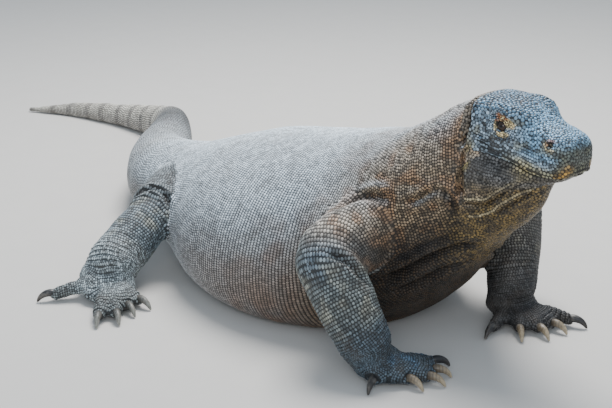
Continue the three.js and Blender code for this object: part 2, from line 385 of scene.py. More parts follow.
# The head's features.
# Places are on the right side, and are mirrored. x is ahead, y is out and z is up.
head = {
    "eye": millimetres((474, -49, 465))[0],
    "eyeRadius": 0.0113,
    "openingWide": 0.0092,
    "openingHigh": 0.0082,
    "lid": 0.0026,  # how far the lids stand over the eyeball
    "nostril": millimetres((571, -41, 450))[0],
    "nostrilSize": 0.0050,
    "ear": millimetres((412, -76, 414), (412, -80, 399), (414, -84, 386)),
    "mouth": millimetres(
        (438, -62, 412), (455, -56, 409), (471, -53, 407), (490, -50, 404), (508, -48, 400), (520, -45, 395),
        (538, -43, 390), (558, -37, 387), (575, -33, 388), (590, -31, 392), (600, -22, 396), (606, -10, 399),
        (607, 0, 399)),
    "mouthCorner": millimetres((520, -45, 396))[0],
    "lipPatch": millimetres((584, -34, 394), (596, -35, 401), (603, -30, 412)),
    "back": 0.38,
    "long": 0.25,
    "middleHigh": 0.430,
    "faceFrom": 0.39,  # ahead of this the face is carved
    # How far from each feature the skin is finest.
    "fine": {"eye": 0.034, "nostril": 0.02, "mouth": 0.014, "ear": 0.012},
}


def nearFace(points):
    side = sideways(points)
    near = np.zeros(len(points), bool)
    for feature, reach in head["fine"].items():
        if feature in ("mouth", "ear"):
            near |= toLine(side, head[feature])[0] < reach
        else:
            near |= np.linalg.norm(side - head[feature], axis=1) < reach
    return near


def eyePlace(points):
    # places round the eye, as shares of the opening's half width and half height
    ahead = points[:, 0] - head["eye"][0]
    up = points[:, 2] - head["eye"][2] - 0.001
    tilted = up + 0.18 * ahead
    return ahead / head["openingWide"], tilted / head["openingHigh"]


# Folds and creases: half width, depth, how far the banks swell, and the line, in millimetres. They are on
# both sides of the body unless mirrored is off. A depth below 0 makes a ridge.
folds = []


def fold(width, depth, swell, *line, mirrored=True):
    line = millimetres(*line)
    lines = bothSides(line) if mirrored else [line]
    folds.append((lines, width / 1000, depth / 1000, swell / 1000))


# behind the head, over the ear and below it
fold(4.4, 11, 3, (404, -45, 497), (406, -62, 485), (411, -69, 463), (408, -71, 450), (405, -72, 431),
     (407, -76, 418))
fold(5.6, 15, 5, (410, -84, 386), (413, -88, 365), (415, -90, 345), (418, -88, 325))
# under the jaw
fold(3.2, 4.2, 2.2, (419, -87, 316), (441, -74, 315), (458, -66, 318), (468, -61, 330), (492, -56, 348),
     (519, -50, 366), (541, -40, 378))
fold(3.4, 4.6, 2.2, (431, -77, 273), (452, -66, 278), (467, -58, 290), (481, -53, 309), (505, -42, 330),
     (530, -30, 350))
# the neck and the shoulder
fold(6.2, 13, 6.5, (325, -134, 303), (348, -124, 314), (363, -117, 328), (376, -110, 337))
fold(6, 9.5, 5, (376, -110, 337), (392, -100, 332), (404, -92, 316), (402, -90, 290))
fold(8, 7.5, 4, (226, -203, 286), (240, -165, 299), (270, -150, 304), (300, -141, 303))
# the chest
fold(7.5, 13, 6.5, (279, -147, 138), (312, -129, 162), (345, -112, 188), (367, -101, 205), (404, -75, 227),
     (422, -45, 230))
fold(7.5, 11, 6, (299, -120, 116), (335, -99, 142), (375, -70, 173), (398, -30, 186))
fold(7, 6, 4, (290, -142, 178), (325, -128, 200), (362, -108, 228), (398, -84, 250))
# the elbow, the upper arm and the knees
fold(6.8, 12.5, 4.5, (285, -285, 236), (294, -276, 228), (307, -261, 219), (323, -247, 199),
     (337, -238, 178), mirrored=False)
fold(7, 8, 4, (246, -206, 262), (262, -195, 240), (276, -184, 214), (285, -176, 190), mirrored=False)
fold(7, 11, 5, (-330, -238, 182), (-350, -252, 168), (-366, -262, 146), (-372, -262, 120))
fold(6, 7.5, 4.5, (-338, -262, 170), (-333, -250, 182), (-319, -236, 190), (-299, -227, 184),
     (-284, -226, 167), (-276, -232, 150), mirrored=False)
# the cheek and the jaw
fold(2.6, 2.2, 1, (440, -76, 372), (462, -76, 362), (486, -66, 362), (508, -54, 368))
fold(2.2, 2.4, 1.2, (424, -70, 446), (446, -64, 438), (466, -58, 431), (488, -55, 425))
fold(2.2, 2.4, 1.2, (426, -70, 436), (446, -64, 430), (464, -58, 424), (484, -55, 418))
fold(2, 2, 1, (430, -68, 426), (446, -63, 422), (462, -58, 418), (478, -55, 414))
fold(2.2, 1.6, 1, (436, -74, 396), (458, -72, 391), (484, -66, 388), (508, -58, 384))
fold(2.2, 1.8, 1, (432, -80, 384), (456, -78, 377), (484, -70, 374), (510, -58, 374))
# the bony brow over the eye, the edge of the snout in front of it, and the hollow below that edge
fold(6, -3.8, -0.6, (436, -55, 494), (458, -59, 492), (482, -60, 489), (504, -57, 483), (522, -50, 471))
fold(3, 3.6, 0, (448, -58, 481), (466, -61, 483), (486, -62, 480), (503, -59, 472), (512, -56, 462))
fold(6, -2.2, 0, (520, -48, 472), (540, -44, 464), (556, -41, 461))
fold(10, 3.4, 1, (508, -56, 442), (526, -52, 436), (546, -48, 434))
fold(3, 2.6, 1.2, (430, -62, 470), (444, -62, 462), (450, -60, 452))

# The ridges between the folds under the jaw, which get a painted highlight.
gularBanks = [
    millimetres((424, -84, 325), (441, -76, 327), (458, -68, 330), (470, -62, 341), (492, -57, 359),
                (519, -51, 377)),
    millimetres((431, -79, 290), (452, -67, 297), (467, -59, 308), (481, -54, 324), (505, -43, 343),
                (530, -30, 360)),
]
folds += [(bothSides(line), 0.0040, -0.0034, 0.0) for line in gularBanks]


def foldDepth(points):
    move = np.zeros(len(points))
    shade = np.zeros(len(points))
    for lines, width, depth, swell in folds:
        for line in lines:
            low = line.min(0) - 5 * width
            high = line.max(0) + 5 * width
            near = np.flatnonzero(((points > low) & (points < high)).all(1))
            if not len(near):
                continue
            curve = roundedLine(line, 4)
            gap, along = toLine(points[near], curve)
            length = lengthOf(curve)
            ends = ramp(along, 0, 3 * width) * (1 - ramp(along, length - 3 * width, length))
            ends = 0.25 + 0.75 * ends
            move[near] += ends * (swell * bell(gap - 2.1 * width, 1.1 * width) - depth * bell(gap, width))
            if depth > 0:
                shade[near] = np.maximum(shade[near], ends * bell(gap, 1.1 * width))
    return move, shade


def sideways(points):  # the same places on the right side
    return np.stack([points[:, 0], -np.abs(points[:, 1]), points[:, 2]], 1)


def mouthHeight(x):
    return np.interp(x, head["mouth"][:, 0], head["mouth"][:, 2])


def eyeRing(side):  # how far from the eye's middle, 1 at the lids' edge, and which places are by the eye
    across, high = eyePlace(side)
    return np.sqrt(across**2 + high**2), np.abs(side[:, 1] - head["eye"][1]) < 0.03


def mouthDepth(points):
    gap, along = toLine(sideways(points), head["mouth"])
    above = points[:, 2] > mouthHeight(points[:, 0])
    groove = -0.0046 * bell(gap, 0.0017)
    upperLip = 0.0024 * bell(gap - 0.0065, 0.0050) * above
    lowerLip = -0.0006 * bell(gap - 0.0040, 0.0040) * ~above
    opening = ramp(along, -0.004, 0.012)
    return (groove + upperLip + lowerLip) * (0.35 + 0.65 * opening)


def carveHead(points, normals):
    # Moves the face's skin in and out, and shapes the lids round the eyeballs.
    face = points[:, 0] > head["faceFrom"]
    side = sideways(points)
    hole = np.linalg.norm(side - head["nostril"], axis=1)
    size = head["nostrilSize"]
    earGap = toLine(side, head["ear"])[0]
    move = mouthDepth(points) * face
    move += face * (-0.0085 * np.exp(-((hole / size) ** 4)) + 0.0016 * bell(hole - 1.7 * size, 0.7 * size))
    move += -0.0070 * bell(earGap, 0.0030) + 0.0026 * bell(earGap - 0.0070, 0.0028)
    points = points + normals * move[:, None]

    outward = np.sign(points[:, 1])
    centre = head["eye"] * np.stack([np.ones(len(points)), -outward, np.ones(len(points))], 1)
    away = points - centre
    reach = np.linalg.norm(away, axis=1)
    across, up = eyePlace(side)
    opening = np.sqrt(across**2 + np.where(up > 0, up, 0.92 * up) ** 2)
    nearby = face & (reach < 0.030) & (side[:, 1] < head["eye"][1] + 0.004)
    lidded = head["eyeRadius"] + head["lid"] * (0.75 + 0.5 * bell(opening - 1.25, 0.22))
    wanted = np.where(opening < 1, head["eyeRadius"] - 0.0042, lidded)
    share = (1 - ramp(opening, 1.5, 2.3)) * nearby
    moved = mixed(points, centre + unit(away) * wanted[:, None], share)
    # a bag under the eye and a groove between the upper lid and the brow
    rim = bell(opening - 2.35, 0.35) * -0.0016 + bell(opening - 2.9, 0.3) * 0.0010
    moved[:, 1] += outward * nearby * rim
    return moved


def flutter(points, size, seed):  # smooth noise, about -1 to 1
    offset = Vector((seed, 2.7 * seed, -seed))
    scale = 1 / size
    return np.array([noise.noise(Vector(p) * scale + offset) for p in points.tolist()])


def legPlace(points, leg):
    # How far down the leg a place is. Each toe is a length of its own, so that the rows part into the toes.
    line = legLines[leg]
    reach = reachOf(line)
    toes = [(reach[3], line[3], middleOf(f"{leg}claw_{i}")) for i in range(1, 6)]
    return placeAlong(points, [(reach[i], line[i], line[i + 1]) for i in range(3)] + toes, 0.004, 5)


def middleOf(node):
    low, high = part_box(node)
    return (np.array(low) + np.array(high)) / 2


def legLength(leg, count=3):
    return lengthOf(legLines[leg][:count])


def wrinkleOf(along):  # 0 in the bottom of each wrinkle across a wrist, 1 on its top
    return np.abs(np.sin(math.pi * along / skin["wrinkle"]))


def sculpt(mesh):
    points = pointsOf(mesh)
    tris = trianglesOf(mesh)
    regions = regionsOf(points)
    normals = normalsOf(points, tris)
    tight = np.isin(regions, ["head", "lower_jaw"]) | np.char.endswith(regions, "foot")
    loose = np.where(tight, 0.35, 1.0) * skin["looseness"]
    depth, shade = foldDepth(points)
    move = depth - skin["coatDepth"] + loose * flutter(points, 0.055, 3.1)
    move += 0.4 * loose * flutter(points, 0.018, 8.2)
    for leg in legLines:
        here = np.flatnonzero(np.isin(regions, [name for name in legOf if legOf[name] == leg]))
        along = legPlace(points[here], leg)
        wrist = ramp(along, legLength(leg) - 0.075, legLength(leg) - 0.01)
        wrinkles = wrist * (0.0030 * wrinkleOf(along) - 0.0018)
        move[here] += wrinkles * ramp(points[here, 2], 0.004, 0.02)
    points = points + normals * move[:, None]
    points = carveHead(points, normalsOf(points, tris))
    points[:, 2] = np.maximum(points[:, 2], skin["lowest"])
    setPoints(mesh, points)
    print("skin sculpted")
    return points, tris, regions, normalsOf(points, tris), shade


skinObject = makeSkin()
points, tris, regions, normals, shade = sculpt(skinObject.data)

# The soft skin under the jaws and round the ears has finer scales than the neck behind it.
throatFrom = 0.404
earSkin = 0.016
byEar = toLine(sideways(points), head["ear"])[0] < earSkin
regions[(regions == "neck") & (byEar | (points[:, 0] + 0.10 * (points[:, 2] - 0.36) > throatFrom))] = "throat"

# Markings, the same on skin and scales.
tones = {
    # back is a pale bluish tone, a painted sky sheen where the skin faces up
    "back": srgb(214, 227, 236),
    "flank": srgb(158, 153, 149),
    "belly": srgb(96, 82, 72),
    "rust": srgb(136, 96, 66),
    "neck": srgb(150, 127, 94),
    "neckTan": srgb(148, 108, 72),
    # the pale grey of a painted highlight on the shoulders and neck
    "nape": srgb(176, 183, 188),
    "throat": srgb(114, 93, 50),
    "chest": srgb(50, 36, 20),
    "mottle": srgb(40, 34, 26),
    "arm": srgb(124, 129, 128),
    "forearm": srgb(106, 113, 112),
    "pale": srgb(160, 158, 140),
    "foot": srgb(68, 82, 92),
    "hind": srgb(116, 124, 128),
    "shank": srgb(116, 129, 136),
    "dusty": srgb(166, 178, 182),
    "tail": srgb(164, 169, 172),
    "tailFar": srgb(220, 216, 204),
    "tailDark": srgb(70, 73, 76),
    "slate": srgb(92, 124, 148),
    "snout": srgb(128, 170, 200),
    "cheek": srgb(150, 169, 184),
    "lip": srgb(156, 152, 120),
    "lipPatch": srgb(176, 132, 52),
    "jaw": srgb(86, 80, 73),
    "cream": srgb(232, 208, 150),
    "orange": srgb(196, 122, 66),
    "ear": srgb(186, 166, 108),
    "dark": srgb(26, 24, 24),
    # the pale of a painted highlight on the ridges under the jaw
    "bank": srgb(176, 160, 124),
    # the bluish tint of a painted sky sheen
    "blue": srgb(84, 126, 162),
}
tones["snoutTip"] = tones["lip"] * [0.24, 0.25, 0.22]


def plain(name, points):
    return np.tile(tones[name], (len(points), 1))


def painted(tone, *layers):  # lays colours over one another, each by its share
    for colour, share in layers:
        tone = mixed(tone, tones[colour] if isinstance(colour, str) else colour, share)
    return tone


def bodyTone(points, normals):
    x, y, z = points.T
    up = normals[:, 2]
    patch = flutter(points, 0.07, 5.5)
    low = (1 - ramp(z, 0.05, 0.19)) * ramp(x, -0.10, 0.16)
    warm = ramp(x, -0.10, 0.10) * (1 - ramp(up, 0.2, 0.7))
    armpit = bell(np.linalg.norm(points * [1, 0, 1] - [0.20, 0, 0.20], axis=1), 0.07)
    shoulder = ramp(x, 0.10, 0.26)
    tan = ramp(0.5 * patch + flutter(points, 0.028, 4.9), -0.1, 0.35)
    under = ramp(x, 0.14, 0.26) * (1 - ramp(z - 0.62 * (x - 0.26), 0.15, 0.26))
    throat = ramp(x, 0.36, 0.44) * (1 - ramp(z - 0.55 * (x - 0.44), 0.30, 0.345))
    blotch = ramp(flutter(points, 0.016, 1.7), 0.05, 0.4)
    return painted(
        plain("flank", points),
        # Painted sky sheen: the pale bluish back tone covers the skin as it turns to face up, and lies over
        # the hips whatever their facing.
        ("back", ramp(up, 0.0, 0.65)),
        ("back", 0.45 * (1 - ramp(x, -0.30, -0.05))),
        ("belly", 0.85 * low),
        ("rust", 0.5 * ramp(patch, -0.1, 0.5) * low),
        ("rust", 0.35 * warm * ramp(flutter(points, 0.04, 7.1), -0.2, 0.5)),
        ("rust", 0.30 * armpit),
        ("neck", 0.8 * shoulder),
        ("neckTan", 0.65 * shoulder * tan),
        # Painted highlight: pale grey on upward-facing skin over the shoulders, with a ragged edge.
        ("nape", shoulder * ramp(up + 0.25 * patch, 0.45, 0.95) * ramp(z, 0.27, 0.33)),
        ("chest", under),
        ("throat", 0.9 * throat),
        ("mottle", 0.65 * blotch * np.maximum(under, throat)))


tailBand = 0.062  # from ring to ring


def tailTone(points, normals):
    x = points[:, 0]
    up = normals[:, 2]
    bands = ramp(np.sin(x * 2 * math.pi / tailBand + 1.5 * flutter(points, 0.09, 4.4)), 0.3, 0.9)
    return painted(
        plain("tailFar", points),
        ("tail", ramp(x, -1.1, -0.85)),
        # Painted sky sheen on the upward-facing skin near the tail's base, and painted shade in the darker
        # flank tone underneath.
        ("back", ramp(x, -0.75, -0.5) * ramp(up, 0, 0.7)),
        ("flank", 0.6 * (1 - ramp(up, -0.2, 0.4))),
        (tones["flank"] * 0.62, 0.6 * bands * (1 - ramp(x, -1.05, -0.9))),
        # Painted shade: a dark band over the top of the tail at its bend.
        ("tailDark", 0.8 * bell(x + 0.93, 0.10) * ramp(up, -0.35, 0.25)))


# The middle of a painted bluish sky sheen on the outer elbow.
elbowSheen = millimetres((270, -290, 215))[0]
shadedFore = 0.66  # how far painted shade darkens the left forearm


def legTone(points, normals, leg):
    along = legPlace(points, leg)
    elbow = legLength(leg, 2)
    wrist = legLength(leg)
    patch = flutter(points, 0.030, 6.3)
    up = normals[:, 2]
    fore = leg.endswith("fore")
    upper, lower, foot = ("arm", "forearm", "foot") if fore else ("hind", "shank", "dusty")
    begins, ends = (0.40, 0.95) if fore else (0.10, 0.50)
    reached = ramp(along, begins * elbow, ends * elbow) * (1 - ramp(points[:, 2], 0.22, 0.28))
    below = ramp(along, 0.95 * elbow, elbow + 0.05)
    tone = painted(bodyTone(points, normals), (upper, reached), (lower, below))
    if fore:
        facing = normals * [1, -np.sign(legLines[leg][1][1]), 1]
        # The inner side of the upper arm, facing the body, turns brown: partly its own colour and partly
        # painted shade.
        inner = ramp(0.6 * facing[:, 0] + 0.8 * facing[:, 1] - 0.2 * up, 0.0, 0.7)
        inner *= 1 - ramp(along, elbow - 0.02, elbow + 0.07)
        brown = mixed(plain("neckTan", points) * 0.7, tones["chest"], ramp(patch, -0.2, 0.4))
        outer = np.linalg.norm(sideways(points) - elbowSheen, axis=1)
        tone = painted(tone, (brown, 0.8 * inner), ("blue", 0.35 * bell(outer, 0.04)))
    # Painted shade in the bottom of each wrinkle across the wrist.
    wrinkled = ramp(along, wrist - 0.085, wrist - 0.03) * (1 - ramp(along, wrist + 0.02, wrist + 0.06))
    wrinkled *= (0.5 if fore else 0.15) * (1 - ramp(wrinkleOf(along), 0.15, 0.5))
    tone = painted(
        tone,
        ("pale", 0.55 * ramp(patch, 0, 0.5) * ramp(along, elbow, elbow + 0.04)),
        (foot, ramp(along, wrist - 0.07, wrist)),
        ("dark", wrinkled))
    if not fore:
        return painted(
            tone,
            ("shank", 0.5 * ramp(-patch, 0.05, 0.4) * ramp(along, wrist, wrist + 0.03)),
            (tones["forearm"] * 0.7, 0.8 * ramp(along, wrist + 0.08, wrist + 0.14)))
    # Painted shade darkens the left forearm below the elbow.
    if leg == "left_fore":
        return painted(tone, ("chest", shadedFore * ramp(along, elbow - 0.05, elbow + 0.05)))
    # Painted bluish sky sheen on the upward-facing top of the right forefoot.
    sheen = 0.35 * ramp(patch, 0.0, 0.5) * ramp(up, 0.3, 0.9)
    return painted(tone, ("blue", sheen * ramp(along, wrist - 0.02, wrist + 0.02)))


# Cream and orange skin round the eye: middle ahead of and above the eye, half length and half height, tilt.
eyePatches = [
    (0.0080, 0.0110, 0.0235, 0.0102, -20),
    (-0.0115, 0.000, 0.0040, 0.0110, 8),
    (0.0035, -0.0140, 0.0125, 0.0056, 6),
]


def oval(ahead, over, x, z, long, high, tilt):
    turn = math.radians(tilt)
    a = (ahead - x) * math.cos(turn) + (over - z) * math.sin(turn)
    b = (over - z) * math.cos(turn) - (ahead - x) * math.sin(turn)
    return 1 - ramp(np.sqrt((a / long) ** 2 + (b / high) ** 2), 0.75, 1.15)


def headTone(points, normals):
    side = sideways(points)
    x, y, z = side.T
    up = normals[:, 2]
    patch = flutter(points, 0.022, 9.4)
    gap = toLine(side, head["mouth"])[0]
    lip = (1 - ramp(gap, 0.012, 0.026)) * ramp(x, 0.47, 0.52)
    tip = ramp(x + 0.35 * (0.43 - z), 0.572, 0.598) * (1 - ramp(z, 0.440, 0.462))
    below = z < mouthHeight(x)
    yellow = bell(toLine(side, head["lipPatch"])[0], 0.0075) * ~below
    corner = np.linalg.norm(side - head["mouthCorner"], axis=1)
    fromHole = side - head["nostril"]
    hole = np.linalg.norm(fromHole, axis=1)
    behind = -0.7 * fromHole[:, 0] - fromHole[:, 2]
    above = fromHole[:, 2] - 0.5 * fromHole[:, 0]
    earGap = toLine(side, head["ear"])[0]
    tone = painted(
        plain("cheek", points),
        ("slate", ramp(up, 0.1, 0.6)),
        (tones["neck"] * 0.8, 0.8 * (1 - ramp(x, 0.406, 0.416))),
        # The snout's sides and top are paler and bluer: partly its own colour and partly a painted highlight.
        ("snout", ramp(x, 0.49, 0.54) * ramp(z, 0.41, 0.43)),
        ("lip", 0.5 * ramp(patch, 0.1, 0.5) * (1 - ramp(up, 0.2, 0.6))),
        ("lip", 0.85 * lip),
        ("cream", 0.45 * lip * ramp(flutter(points, 0.008, 7.7), 0.15, 0.5)),
        (tones["slate"] * 0.6, 0.5 * lip * ramp(flutter(points, 0.010, 5.2), 0.15, 0.5)),
        ("snoutTip", 0.9 * tip),
        ("jaw", 0.9 * below * ramp(gap, 0.001, 0.006)),
        ("throat", 0.7 * below * (1 - ramp(z, 0.335, 0.375))),
        ("lipPatch", 0.95 * yellow),
        ("ear", 0.5 * bell(corner, 0.018)),
        ("cream", 0.75 * bell(hole - 0.0095, 0.0045) * ramp(behind, -0.003, 0.004)),
        ("orange", 0.6 * bell(hole - 0.0075, 0.003) * ramp(above, 0, 0.003)),
        # Painted shade inside the nostril.
        ("dark", np.exp(-((hole / 0.0055) ** 4))),
        ("ear", 0.95 * bell(earGap - 0.006, 0.005)),
        # Painted shade in the ear's opening.
        ("dark", bell(earGap, 0.0026)))
    ring, byEye = eyeRing(side)
    ragged = 0.0026 * flutter(points, 0.006, 3.3)
    ahead = x - head["eye"][0] + ragged
    over = z - head["eye"][2] - ragged
    rust = ramp(flutter(points, 0.007, 2.2) + 60 * (over - 0.35 * ahead - 0.010), -0.1, 0.4)
    lidTone = mixed(plain("cream", points) * 1.25, tones["orange"], rust)
    return painted(
        tone,
        (tones["dark"] * 2.2, 0.7 * byEye * oval(ahead, over, 0.003, -0.022, 0.022, 0.006, 10)),
        *[(lidTone, 0.9 * byEye * oval(ahead, over, *patch)) for patch in eyePatches],
        ("dark", 0.9 * byEye * bell(ring - 1.0, 0.14)),
        ("dark", 0.95 * byEye * (ring < 1)))


def markings(points, normals, regions, shade):
    tone = np.zeros((len(points), 3))
    for name in np.unique(regions):
        here = regions == name
        args = points[here], normals[here]
        if name in ("head", "lower_jaw"):
            tone[here] = headTone(*args)
        elif name.startswith("tail"):
            tone[here] = tailTone(*args)
        elif name in legOf:
            tone[here] = legTone(*args, legOf[name])
        else:
            tone[here] = bodyTone(*args)
    side = sideways(points)
    banks = np.max([bell(toLine(side, line)[0], 0.0034) for line in gularBanks], axis=0)
    crease = np.abs(toLine(side, folds[0][0][0])[0] - 0.0095)
    lower = (1 - ramp(points[:, 2], 0.43, 0.47)) * (points[:, 0] > 0.41)
    # A painted highlight on the ridges under the jaw, and painted shade in the creases.
    return painted(tone, ("bank", 0.9 * banks), ("ear", 0.45 * bell(crease, 0.003) * lower),
                   ("dark", 0.92 * shade * (1 - banks)))


# Where the scales grow.
# pitch is from row to row, spacing from scale to scale along a row and high the height of a scale.
# cover is a scale's size as a share of its place, and joined how much wider it is along the row.
rows = {
    "trunk": {"pitch": 0.0069, "spacing": 0.0050, "high": 0.0026, "cover": 0.94, "joined": 1.22},
    "neck": {"pitch": 0.0058, "spacing": 0.0056, "high": 0.0032, "cover": 0.98},
    "tail": {"pitch": 0.0078, "spacing": 0.0066, "high": 0.0016, "cover": 1.0},
    "leg": {"pitch": 0.0070, "spacing": 0.0064, "high": 0.0022, "cover": 1.0},
    "foot": {"pitch": 0.0050, "spacing": 0.0064, "high": 0.0015, "cover": 1.04},
}
rowsOf = {"trunk": "trunk", "neck": "neck", "tail_base": "tail", "tail_middle": "tail", "tail_tip": "tail"}
for leg in legLines:
    rowsOf[leg] = "leg"


def rowsAt(along, places, pitches, grid):  # how many rows lie before each place
    counts = np.cumsum(np.append(0, np.diff(grid) / np.interp(grid[1:], places, pitches)))
    return np.interp(along, grid, counts)


def bodyRows(points):
    # The row number grows from the tail to the head, and leans forward up the neck.
    x, z = points[:, 0], points[:, 2]
    reach = reachOf(spineLine)
    total = reach[-1]
    chest = total - 0.435
    along = placeAlong(points * [1, 1, 0], list(zip(reach, spineLine[:-1], spineLine[1:])), 0.01, 16)
    along = along + 0.34 * ramp(x, 0.08, 0.34) * (z - 0.20)
    tail, trunk, neck = (rows[name]["pitch"] for name in ("tail", "trunk", "neck"))
    return rowsAt(along, [0, 0.5, 1.1, chest - 0.16, chest + 0.06, total],
                  [tail * 0.6, tail, trunk, trunk, neck, neck * 0.9], np.linspace(-0.1, total + 0.2, 600))


bodyLevels = bodyRows(points)


def legRows(points, leg):
    wrist = legLength(leg)
    pitch, footPitch = rows["leg"]["pitch"], rows["foot"]["pitch"]
    return rowsAt(legPlace(points, leg), [0, legLength(leg, 2), wrist - 0.06, wrist, 0.6],
                  [0.84 * pitch, pitch, pitch, footPitch, footPitch], np.linspace(-0.2, 0.8, 500))


def crossings(corners, cornerNormals, faces, levels):
    # Where whole row numbers cross the faces. Each crossing has two ends, on two edges of its face:
    # the edge and row, the place and the normal of each end, and the face.
    values = levels[faces]
    low = np.ceil(values.min(1) - 1e-9)
    found = []
    for step in range(8):
        row = low + step
        hit = np.flatnonzero((row < values.max(1)) & (row > values.min(1)))
        if not len(hit):
            break
        face = faces[hit]
        k = row[hit]
        above = values[hit] > k[:, None]
        odd = np.where(above.sum(1) == 1, above.argmax(1), (~above).argmax(1))
        index = np.arange(len(face))[:, None]
        one = face[index, odd[:, None]]
        other = face[index, (odd[:, None] + [1, 2]) % 3]
        t = ((k[:, None] - levels[one]) / (levels[other] - levels[one]))[..., None]
        rowHere = np.broadcast_to(k[:, None], other.shape)
        found.append((np.stack([np.minimum(one, other), np.maximum(one, other), rowHere], 2),
                      corners[one] + (corners[other] - corners[one]) * t,
                      cornerNormals[one] + (cornerNormals[other] - cornerNormals[one]) * t, hit))
    return [np.concatenate(group) for group in zip(*found)]


def slopesOf(corners, faces, levels):  # how fast the row number grows over each face, and which way
    a, b, c = (corners[faces[:, i]] for i in range(3))
    normal = np.cross(b - a, c - a)
    area = np.maximum((normal**2).sum(1), 1e-18)
    opposite = (c - b, a - c, b - a)
    return sum(np.cross(normal, opposite[i]) * levels[faces[:, i]][:, None] for i in range(3)) / area[:, None]


def chainRows(corners, cornerNormals, faces, levels):
    # Joins the crossings into lines. Gives the lines, and each place's normal, slope and row.
    key, place, direction, crossed = crossings(corners, cornerNormals, faces, levels)
    key = key.astype(np.int64)
    code = (key[..., 0] * len(corners) + key[..., 1]) * 4096 + key[..., 2]
    _, first, node = np.unique(code, return_index=True, return_inverse=True)
    count = len(first)
    node = node.reshape(-1, 2)
    slope = slopesOf(corners, faces, levels)[crossed]
    nodeSlope = sumAt(node[:, 0], slope, count) + sumAt(node[:, 1], slope, count)
    nodeSlope /= np.maximum(np.bincount(node.ravel(), minlength=count), 1)[:, None]

    links = [[] for _ in range(count)]
    for p, q in node.tolist():
        links[p].append(q)
        links[q].append(p)
    seen = np.zeros(count, bool)
    lines = []
    for begin in sorted(range(count), key=lambda i: len(links[i]) != 1):
        if seen[begin]:
            continue
        line = [begin]
        while True:
            seen[line[-1]] = True
            ahead = [n for n in links[line[-1]] if not seen[n]]
            if not ahead:
                break
            line.append(ahead[0])
        closed = len(line) > 3 and line[0] in links[line[-1]]
        if closed:
            line.append(line[0])
        if len(line) > 1:
            lines.append((np.array(line), closed))
    place, direction, key = (values.reshape(-1, 3)[first] for values in (place, direction, key))
    return lines, place, direction, nodeSlope, key[:, 2]


partOf = np.array([legOf.get(name, name) for name in regions])
shortest = 0.4  # a row shorter than this share of a scale's spacing is left out


def growRows(region):
    kind = rows[rowsOf[region]]
    faces = tris[partOf[tris[:, 0]] == region]
    used, local = np.unique(faces, return_inverse=True)
    corners = points[used]
    levels = (legRows(corners, region) if region in legLines else bodyLevels[used]) + 1e-6
    lines, places, directions, slopes, rowOf = chainRows(corners, normals[used], local.reshape(-1, 3), levels)
    found = []
    for line, closed in lines:
        if closed:  # it starts under the belly
            low = int(places[line][:, 2].argmin())
            line = np.append(np.roll(line[:-1], -low), line[low])
        path = places[line]
        reach = reachOf(path)
        spacing = kind["spacing"] * spacingShare(path[len(path) // 2], region)
        if reach[-1] < shortest * spacing:
            continue
        count = max(1, int(round(reach[-1] / spacing)))
        shift = 0.5 * (rowOf[line[0]] % 2) if closed else 0.5
        at = (np.arange(count) + shift) * reach[-1] / count
        slope = readAt(at, reach, slopes[line])
        steep = np.maximum(np.linalg.norm(slope, axis=1), 1e-6)
        pitch = np.clip(1 / steep, 0.5 * kind["pitch"], 1.5 * kind["pitch"])
        wide = np.full(count, kind.get("joined", 1.0) * reach[-1] / count)
        facing = unit(readAt(at, reach, directions[line]))
        found.append(np.column_stack([readAt(at, reach, path), facing, unit(slope), pitch, wide]))
    return np.vstack(found)


def spacingShare(place, region):
    if region == "tail_tip":
        return float(np.interp(place[0], [-1.6, -1.35], [0.55, 0.9]))
    if region == "trunk":
        return float(np.interp(place[0], [0.02, 0.2], [1.0, 1.1]))
    if region in legLines:
        along = legPlace(place[None], region)[0]
        wrist = legLength(region)
        return float(np.interp(along, [0, 0.12, wrist - 0.05, wrist + 0.02], [0.84, 1.0, 1.0, 0.80]))
    return 1.0


headParts = ["head", "lower_jaw", "throat"]
headKinds = {part: {"high": 0.0018, "cover": 1.02} for part in headParts}
headKinds["lips"] = {"high": 0.0016, "cover": 1.0}
scatter = {"tries": 120000, "cell": 0.010}


def growHead(seeds):
    # Scatters scales over the head, each as far from the others as its size asks.
    faces = tris[np.isin(regions[tris[:, 0]], headParts)]
    a, b, c = (points[faces[:, i]] for i in range(3))
    area = np.linalg.norm(np.cross(b - a, c - a), axis=1) / 2
    guided, guidedFacing, guidedOwner = guidedSpots()
    pick = rng.choice(len(faces), scatter["tries"], p=area / area.sum())
    u, v = rng.random((2, scatter["tries"]))
    flip = u + v > 1
    u[flip] = 1 - u[flip]
    v[flip] = 1 - v[flip]
    spot = a[pick] + (b - a)[pick] * u[:, None] + (c - a)[pick] * v[:, None]
    corner = [normals[faces[pick, i]] for i in range(3)]
    facing = unit(corner[0] * (1 - u - v)[:, None] + corner[1] * u[:, None] + corner[2] * v[:, None])
    spot = np.vstack([guided, spot])
    facing = np.vstack([guidedFacing, facing])
    owner = np.append(guidedOwner, regions[faces[pick, 0]])
    space = headSpace(spot)
    grid = {}

    def cellOf(place):
        return tuple(int(math.floor(value / scatter["cell"])) for value in place)

    def near(place):
        x, y, z = cellOf(place)
        for i in (x - 1, x, x + 1):
            for j in (y - 1, y, y + 1):
                for k in (z - 1, z, z + 1):
                    yield from grid.get((i, j, k), ())

    def put(place, size):
        grid.setdefault(cellOf(place), []).append((*place, size))

    def fits(place, size):
        x, y, z = place
        gaps = (((x - q[0])**2 + (y - q[1])**2 + (z - q[2])**2, (0.5 * (size + q[3]))**2)
                for q in near(place))
        return size > 0 and all([gap > wanted for gap, wanted in gaps])

    for place, size in seeds:
        put(place, size)
    kept = []
    for i, (place, size) in enumerate(zip(spot.tolist(), space.tolist())):
        if fits(place, size):
            put(place, size)
            kept.append(i)
    return spot[kept], facing[kept], space[kept], owner[kept]


